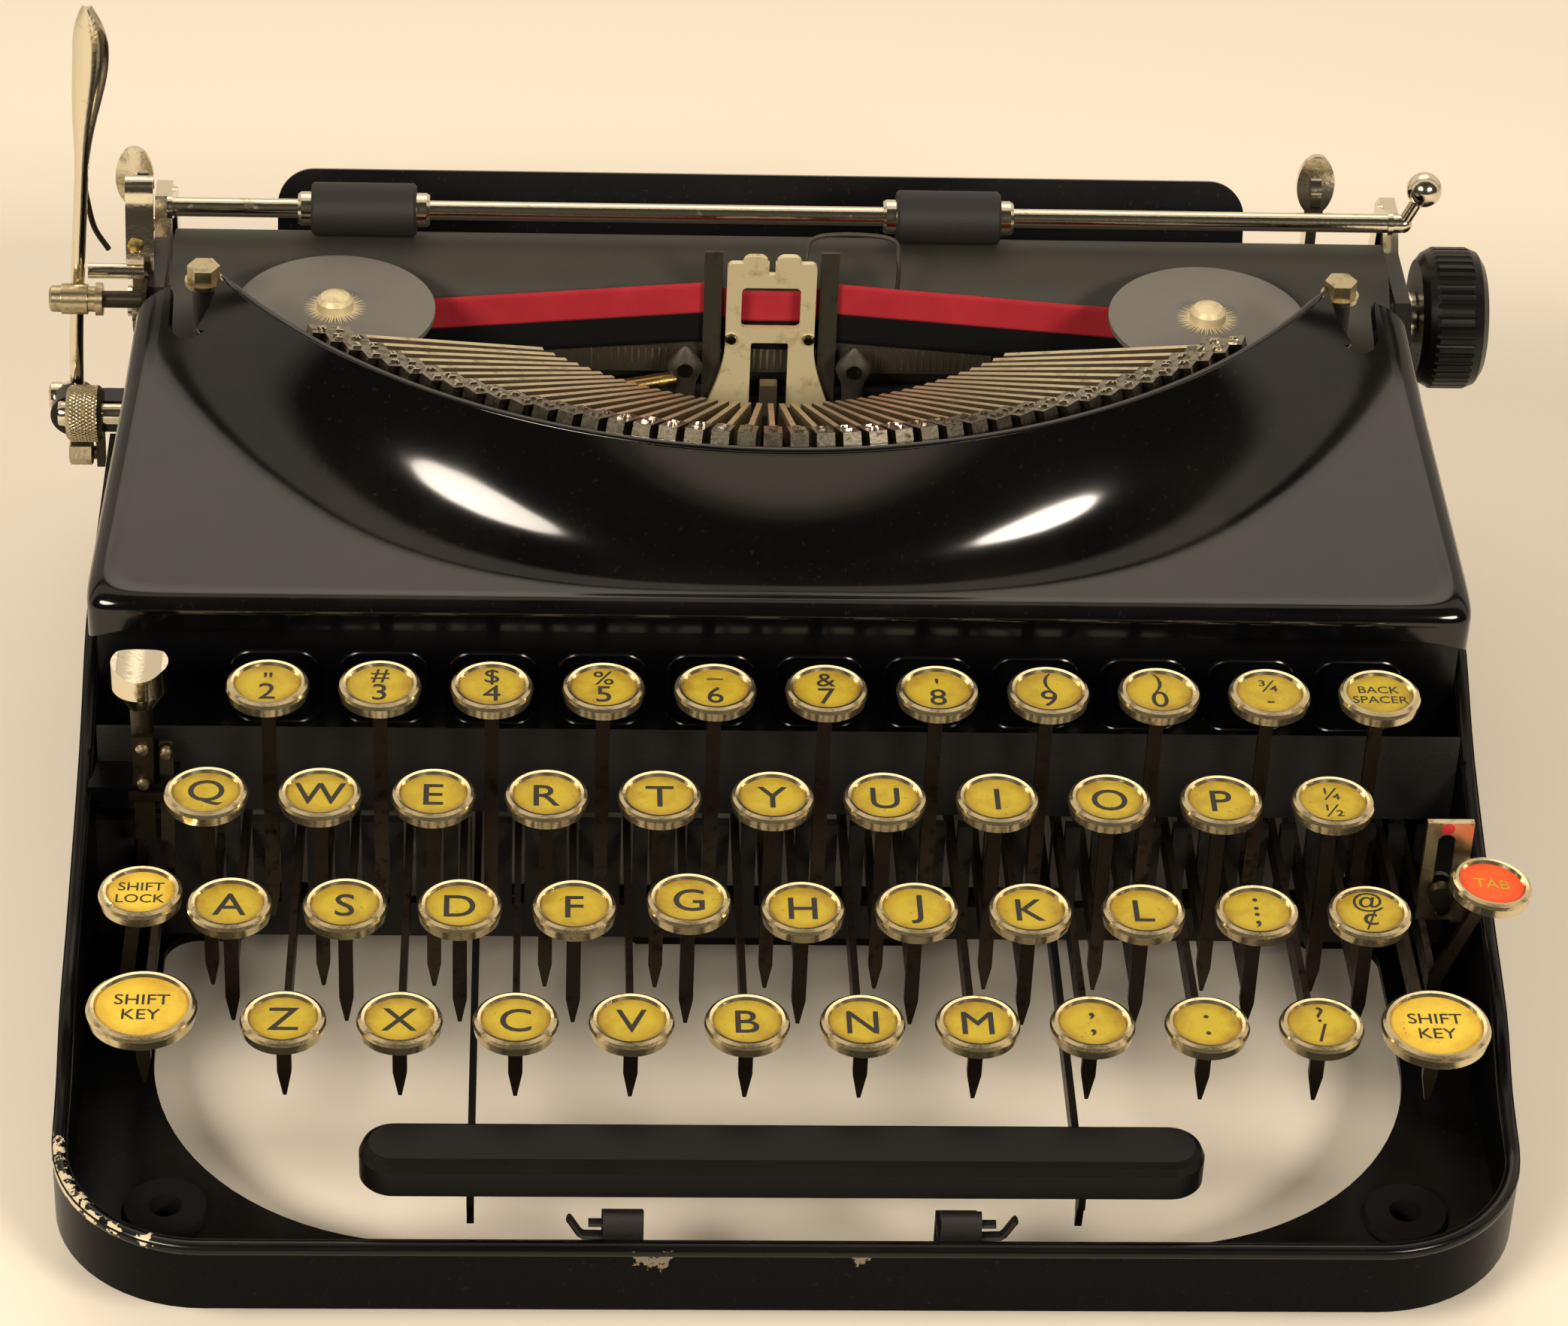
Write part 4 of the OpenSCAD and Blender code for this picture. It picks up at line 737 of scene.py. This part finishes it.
# RETURN LEVER: an oval section carried up a curved line, thin below, a dished spoon at the top, on a round foot
returnLever = {
    "y": 75.8, "foot": (-130.5, 0, 53.0), "boltAt": (0, 75.8, 53.4), "thin": 1.3, "bowl": 2.0,
    "bowlZ": (102, 126), "tipZ": (128, 137), "tipIn": 2.5, "thick": 1.15, "hollow": 0.45, "dish": 1.0,
    "line": ((-130.5, 53), (-129.8, 70), (-128, 95), (-126.7, 111), (-124.8, 126), (-125, 136.9)),
    "disc": ((3.1, 74.6), (3.6, 75), (3.6, 76.6), (3.1, 77)), "pin": ((2.5, 68.5), (2.5, 75.6)),
    "cap": ((2.2, 76.8), (2.2, 77.6), (1.8, 78.3), (0.6, 78.6)),
    "bolt": ((2.2, -135.6), (2.7, -135.2), (2.7, -133.2), (2.0, -133.1), (2.0, -131)), "springR": 0.55,
    "spring": ((-127.4, 77.3, 101), (-126.9, 77.5, 96), (-125.8, 77.8, 89.5), (-123.4, 78.2, 84.6))}


def makeReturnLever(v):
    x, z = smoothLine(v["line"], 18).T[:, :, None]
    low, high = v["bowlZ"]
    swell = ease((z - low) / (high - low))
    low, high = v["tipZ"]
    half = v["thin"] + v["bowl"] * swell - v["tipIn"] * np.clip((z - low) / (high - low), 0, 1) ** 2
    thick = v["thick"] * (1 - v["hollow"] * swell)
    a = circle(28)
    y = v["y"] + thick * np.sin(a) + v["dish"] * swell * (np.cos(a) ** 2 - 0.5)
    points = np.stack(np.broadcast_arrays(x + half * np.cos(a), y, z), -1).reshape(-1, 3)
    spoon = (points, gridFaces(len(z), 28, True) + endFaces(len(z), 28))
    return [spoon, turned(v["disc"], v["foot"], "y", 40), turned(v["cap"], v["foot"], "y", 24),
            turned(v["pin"], v["foot"], "y", 28), turned(v["bolt"], v["boltAt"], "x", 24),
            tube(smoothLine(v["spring"], 8), v["springR"], (0, 1, 0), 10) + (1,)]


leverPiece = makePiece("returnSpoon", makeReturnLever(returnLever), [nickel, darkSteel], "return_lever")
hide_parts("return_lever")
print("return lever made")

# LEFT END OF THE CARRIAGE: knurled wheel, stud with its nut, and a folded strap with a rivet
leftEnd = {
    "wheel": (0, 68.3, 54.4), "wheelR": 5.4, "wheelX": (-131.7, -124.9), "grooves": 22, "lead": 2.6,
    "cut": 0.025, "stud": (0, 71.4, 77.8), "nut": (0, 68.3, 45.6), "strapX": -117.8, "strapW": 5.2,
    "strapT": 0.9,
    "strap": ((79.4, 78.2), (80.3, 82), (82, 87.5), (83.2, 91.2), (83.8, 94), (84.6, 95.2), (86, 95.4),
              (87.1, 94.4), (87.4, 92.6)),
    "axle": ((2.2, -133.3), (2.4, -132.9), (2.4, -131.6), (2.0, -124.9), (2.0, -116.5)),
    "collar": ((2.0, -134.1), (2.5, -133.7), (2.5, -131.9), (2.9, -131.8), (2.9, -127), (2.4, -126.9),
               (2.4, -125.6), (3.1, -125.5), (3.1, -124.2), (1.6, -124.1)),
    "rod": ((1.6, -124.3), (1.6, -116)), "shank": ((1.3, -127.2), (1.3, -125)),
    "hexagon": ((2.0, -131.6), (2.35, -131.3), (2.35, -127.4), (2.0, -127.1)),
    "hanger": ((-126.4, 66.7, 43.4), (-124.9, 69.9, 51)), "bracket": ((-117, 69.6, 66), (-116, 74.4, 80.5)),
    "rivet": ((1.5, 0), (1.5, 0.35), (1.1, 0.75), (0.3, 0.9)), "rivetAt": (-118.6, 80.55, 84.0), "lean": 17}


def makeLeftEnd(e):
    (x0, x1), r = e["wheelX"], e["wheelR"]
    # diamond knurling: two sets of crossing grooves
    groove = lambda a, h: np.abs(np.cos(e["grooves"] * a + e["lead"] * h)) ** 6
    knurl = lambda a, h: 1 - e["cut"] * (groove(a, h) + groove(a, -h))
    wheel = [(r - 0.9, x0), (r - 0.3, x0 + 0.5)] + [(r, x) for x in np.linspace(x0 + 0.9, x1 - 0.9, 31)]
    wheel += [(r - 0.3, x1 - 0.5), (r - 0.9, x1)]
    c, s = math.cos(math.radians(e["lean"])), math.sin(math.radians(e["lean"]))
    points, faces = turned(e["rivet"], (0, 0, 0), "y", 20)
    rivet = points @ np.array([[1, 0, 0], [0, -c, s], [0, s, c]]).T + e["rivetAt"]
    return [turned(wheel, e["wheel"], "x", 264, knurl) + (3,), turned(e["axle"], e["wheel"], "x", 24),
            turned(e["collar"], e["stud"], "x", 28) + (3,), turned(e["hexagon"], e["nut"], "x", 6) + (3,),
            strip(smoothLine(e["strap"], 8), e["strapX"], e["strapW"], e["strapT"]), block(*e["bracket"]) + (1,),
            turned(e["rod"], e["stud"], "x", 20) + (1,), block(*e["hanger"]) + (1,),
            turned(e["shank"], e["nut"], "x", 16) + (1,), (rivet, faces, 2)]


makePiece("leftFittings", makeLeftEnd(leftEnd), [nickel, darkSteel, brass, dullNickel], "carriage", sharp=30)

# right end: a brown nut low on the cheek
rightEnd = {"nut": ((2.9, 121.4), (2.9, 123.4), (2.2, 123.5), (2.2, 125.6), (1.6, 126)), "place": (0, 70, 49.5)}
makePiece("rightNut", [turned(rightEnd["nut"], rightEnd["place"], "x", 6)], [brass], "carriage")
print("carriage ends made")

# GUIDE FITTINGS: dark lugs beside the guide, the toothed scale behind the ribbon, a card wire, screws and a peg
guide = {
    "lugX": 15.8, "lugY": 62.8, "lugZ": (54.9, 74.6), "lugHalf": 2.0, "swell": 1.5, "swellZ": 70.3,
    "swellRun": 2.6, "lugFlat": 0.55, "lugScrew": ((1.5, -0.9), (1.5, -0.3), (1.1, 0), (0.3, 0.12)),
    "lugScrewAt": (61.6, 70.4),
    "screw": ((0.3, -0.75), (0.9, -0.6), (1.2, -0.2), (1.2, 0.5)), "screwAt": (7.2, 64.5, 75.2),
    "footX": (5.5, 7.5), "footY": (65.7, 67.6), "footZ": (66.6, 70.2),
    "scaleX": 42.0, "scaleY": 67.65, "scaleZ": (66.0, 71.6), "teeth": 1.27, "toothW": 0.4, "wireR": 0.42,
    "wire": ((6.1, 67.85, 71.2), (6.1, 67.85, 84), (6.3, 68.4, 90.2), (8.9, 72.4, 92.9), (21.9, 72.4, 92.7),
             (23.5, 68.4, 90.4), (23.6, 67.85, 84), (23.6, 67.85, 71.2)),
    "stop": ((-1.6, 61.8, 59.8), (1.6, 64.2, 66.6)), "pegR": 1.5,
    "peg": ((-29, 60.6, 66.4), (-24, 61.2, 67), (-17.5, 62.4, 67.6))}


def makeGuideFittings(g):
    parts = []
    z = np.linspace(*g["lugZ"], 26)
    t = np.linspace(0, 1, 26)
    half = g["lugHalf"] + g["swell"] * np.exp(-((z - g["swellZ"]) / g["swellRun"]) ** 2)
    half = half * np.sqrt(np.clip(1 - (t * 1.001) ** 10, 0.02, 1))
    screwX, screwY, screwZ = g["screwAt"]
    for sign in (-1, 1):
        x = sign * g["lugX"]
        line = np.stack([np.full(len(z), x), np.full(len(z), g["lugY"]), z], 1)
        parts.append(tube(line, half, (0, 1, 0), 20, g["lugFlat"]))
        parts.append(turned(g["lugScrew"], (x, *g["lugScrewAt"]), "y", 16) + (1,))
        parts.append(turned(g["screw"], (sign * screwX, screwY, screwZ), "y", 18) + (1,))
        corners = np.array([sorted(sign * np.array(g["footX"])), g["footY"], g["footZ"]]).T
        parts.append(block(*corners))
    (low, high), x, y = g["scaleZ"], g["scaleX"], g["scaleY"]
    parts.append(block((-x, y - 0.1, low), (x, y + 0.1, high)))
    for tooth in np.arange(-x + 1, x - 0.5, g["teeth"]):
        parts.append(block((tooth, y - 0.2, low + 0.8), (tooth + g["toothW"], y - 0.08, high - 0.5)) + (2,))
    parts.append(tube(smoothLine(g["wire"], 8), g["wireR"], (0.02, 1, 0.01), 10))
    parts.append(block(*g["stop"]) + (2,))
    parts.append(tube(smoothLine(g["peg"], 6), g["pegR"], (0, 0, 1), 14) + (3,))
    return parts


makePiece("guideFittings", makeGuideFittings(guide), [forkSteel, nickel, typeSteel, brass], "base")
print("guide fittings made")

# SIDE FITTINGS: the shift latch strips at the left, the selector's red dot and screw at the right
sides = {
    "dot": ((0.3, -0.14), (0.9, -0.12), (1.15, -0.02), (1.15, 0.3)), "dotAt": (112.6, -58.0, 55.75),
    "screw": ((0.4, -0.6), (1.1, -0.5), (1.5, -0.1), (1.5, 0.3)), "screwAt": (113.4, -58.0, 38.4),
    "latch": ((-36.4, 57), (-36.6, 50), (-37.2, 43), (-38, 36)), "latchX": -110.4, "latchW": 3.6,
    "link": ((-33.6, 54), (-34.4, 48), (-36, 40), (-38.4, 30)), "linkX": -106.6, "linkW": 2.4, "thick": 0.9,
    "bridge": ((-113, -38.6, 44.6), (-104.5, -36.2, 46.4)),
    "rivet": ((0.3, -1.0), (0.9, -0.9), (1.2, -0.5), (1.2, 0.4)),
    "rivetsAt": ((-110.4, -36.9, 54.6), (-110.4, -37.4, 47.6), (-106.6, -35, 52.4))}


def makeSideFittings(s):
    return [turned(s["dot"], s["dotAt"], "y", 24) + (2,), turned(s["screw"], s["screwAt"], "y", 20) + (1,),
            strip(s["latch"], s["latchX"], s["latchW"], s["thick"]),
            strip(s["link"], s["linkX"], s["linkW"], s["thick"]) + (1,), block(*s["bridge"]) + (1,),
            *(turned(s["rivet"], place, "y", 18) + (3,) for place in s["rivetsAt"])]


makePiece("sideFittings", makeSideFittings(sides), [stemSteelAndShade, darkSteel, redDot, dullNickel], "base")
print("side fittings made")

# PANEL BAYS: a raised edge round the bay behind each number key, a rounded oblong
bays = {"y": -17.0, "half": 7.5, "low": 46.0, "high": 61.0, "corner": 3.6, "edge": 0.45, "count": 11}


def makeBays(b):
    a = np.linspace(0, np.pi / 2, 9)
    c, s = b["corner"] * np.cos(a), b["corner"] * np.sin(a)
    x, low, high = b["half"] - b["corner"], b["low"] + b["corner"], b["high"] - b["corner"]
    u = np.concatenate([x + c, -x - s, -x - c, x + s])
    w = np.concatenate([high + s, high + c, low - s, low - c])
    loop = np.stack([u, np.full(len(u), b["y"]), w], 1)
    places = keyboard["firstX"][0] + np.arange(b["count"]) * keyboard["pitch"]
    return [tube(loop + [place, 0, 0], b["edge"], (0, 1, 0), 10, loop=True) for place in places]


makePiece("panelBays", makeBays(bays), [panelEnamel], "base")
print("panel bays made")

# SHADE SCREEN: a black plate over the levers, behind the number row, that paints the shade among them and hides the
# floor below
shadeScreen = {"low": (-118.8, -30.4, 36.6), "high": (118.8, -29.6, 54.2)}
makePiece("leverShadeScreen", [block(shadeScreen["low"], shadeScreen["high"])], [castIronAndShade], "base")
print("screen made")

# SPACE BAR STOPS: curled tabs behind the front wall, each with a bent strap and a peg, seen in front of the bar
stops = {
    "places": ((-28.0, -1), (27.0, 1)), "half": 3.3, "thick": 0.9, "y": -123.0, "flat": 2.0,
    "tab": ((-124.2, 16), (-124.3, 21), (-123.9, 24.2), (-123, 25.6), (-121.9, 25.2), (-121.5, 23.6)),
    "strap": ((-0.5, 21.3), (3.2, 21.4), (3.9, 22.0), (5.3, 24.6), (5.6, 25.0)), "strapR": 0.55,
    "peg": ((-0.5, 24.0), (2.4, 24.0)), "pegR": 0.5}


def makeStops(s):
    parts = []
    for middle, way in s["places"]:
        parts.append(strip(smoothLine(s["tab"], 6), middle, 2 * s["half"], s["thick"]))
        for path, radius in ((s["strap"], s["strapR"]), (s["peg"], s["pegR"])):
            out, z = np.array(path).T
            line = np.stack([middle + way * (s["half"] + out), np.full(len(z), s["y"]), z], 1)
            parts.append(tube(line, radius, (0, 1, 0), 8, s["flat"]))
    return parts


makePiece("spaceBarStops", makeStops(stops), [castIronAndShade], "base")
print("space bar stops made")

# STAGE: a pale floor, gridded lamps that keep the floor under them dim, and a sky of bands (y, glow) that the
# enamel mirrors: from front to back a dark room, a grey ceiling, a dark gap, then the bright backcloth
stage = {
    "floor": "#e4dccd", "size": 6.0, "sky": "#ffeed8", "lamp": "#fff3e2", "beam": 80,
    "bands": ((-0.14, 0.05), (-0.02, 0.9), (0.25, 0.9), (0.29, 0.05), (0.35, 0.05), (0.38, 0.9)),
    "lamps": (("keyLamp", (-1060, -1370, 1235), (-40, -200, 60), (1.0, 0.54), 8.5),
              ("fillLamp", (1018, -1472, 1087), (40, -200, 60), (0.76, 0.4), 6.5),
              ("backLamp", (0, 900, 1300), (0, 40, 60), (1.4, 1.0), 1.0))}
floorMat = startMaterial("paleFloor", {"Base Color": tint(stage["floor"]), "Roughness": 0.9})[0]
half = stage["size"] / mm
floorPoints = [(-half, -half, 0), (half, -half, 0), (half, half, 0), (-half, half, 0)]
floor = makePiece("floor", [(floorPoints, [[0, 1, 2, 3]])], [floorMat], None, closed=False)

world = bpy.data.worlds.new("studio")
scene.world = world
world.use_nodes = True
tree = world.node_tree
tree.nodes.clear()
way = addNode(tree, "TexCoord")
axes = addNode(tree, "SeparateXYZ", None, {0: way.outputs["Generated"]})
depth = addNode(tree, "MapRange", {"From Min": -1.0, "From Max": 1.0}, {"Value": axes.outputs["Y"]})
bands = addNode(tree, "ValToRGB", None, {"Fac": depth})
ramp = bands.color_ramp.elements
for y, glow in stage["bands"]:
    ramp.new((y + 1) / 2).color = (glow, glow, glow, 1)
for end in (0, -1):
    ramp[end].color = (*[stage["bands"][end][1]] * 3, 1)
sky = addNode(tree, "Background", {"Color": tint(stage["sky"])}, {"Strength": bands})
addNode(tree, "OutputWorld", None, {"Surface": sky})

for name, place, aim, size, power in stage["lamps"]:
    light = bpy.data.lights.new(name, "AREA")
    light.shape = "ELLIPSE"
    light.size, light.size_y = size
    light.spread = math.radians(stage["beam"])
    light.energy = power
    light.color = tint(stage["lamp"])[:3]
    lamp = bpy.data.objects.new(name, light)
    lamp.location = [c * mm for c in place]
    lamp.rotation_euler = Vector(np.array(aim) - np.array(place)).to_track_quat("-Z", "Y").to_euler()
    scene.collection.objects.link(lamp)
print("stage lit")
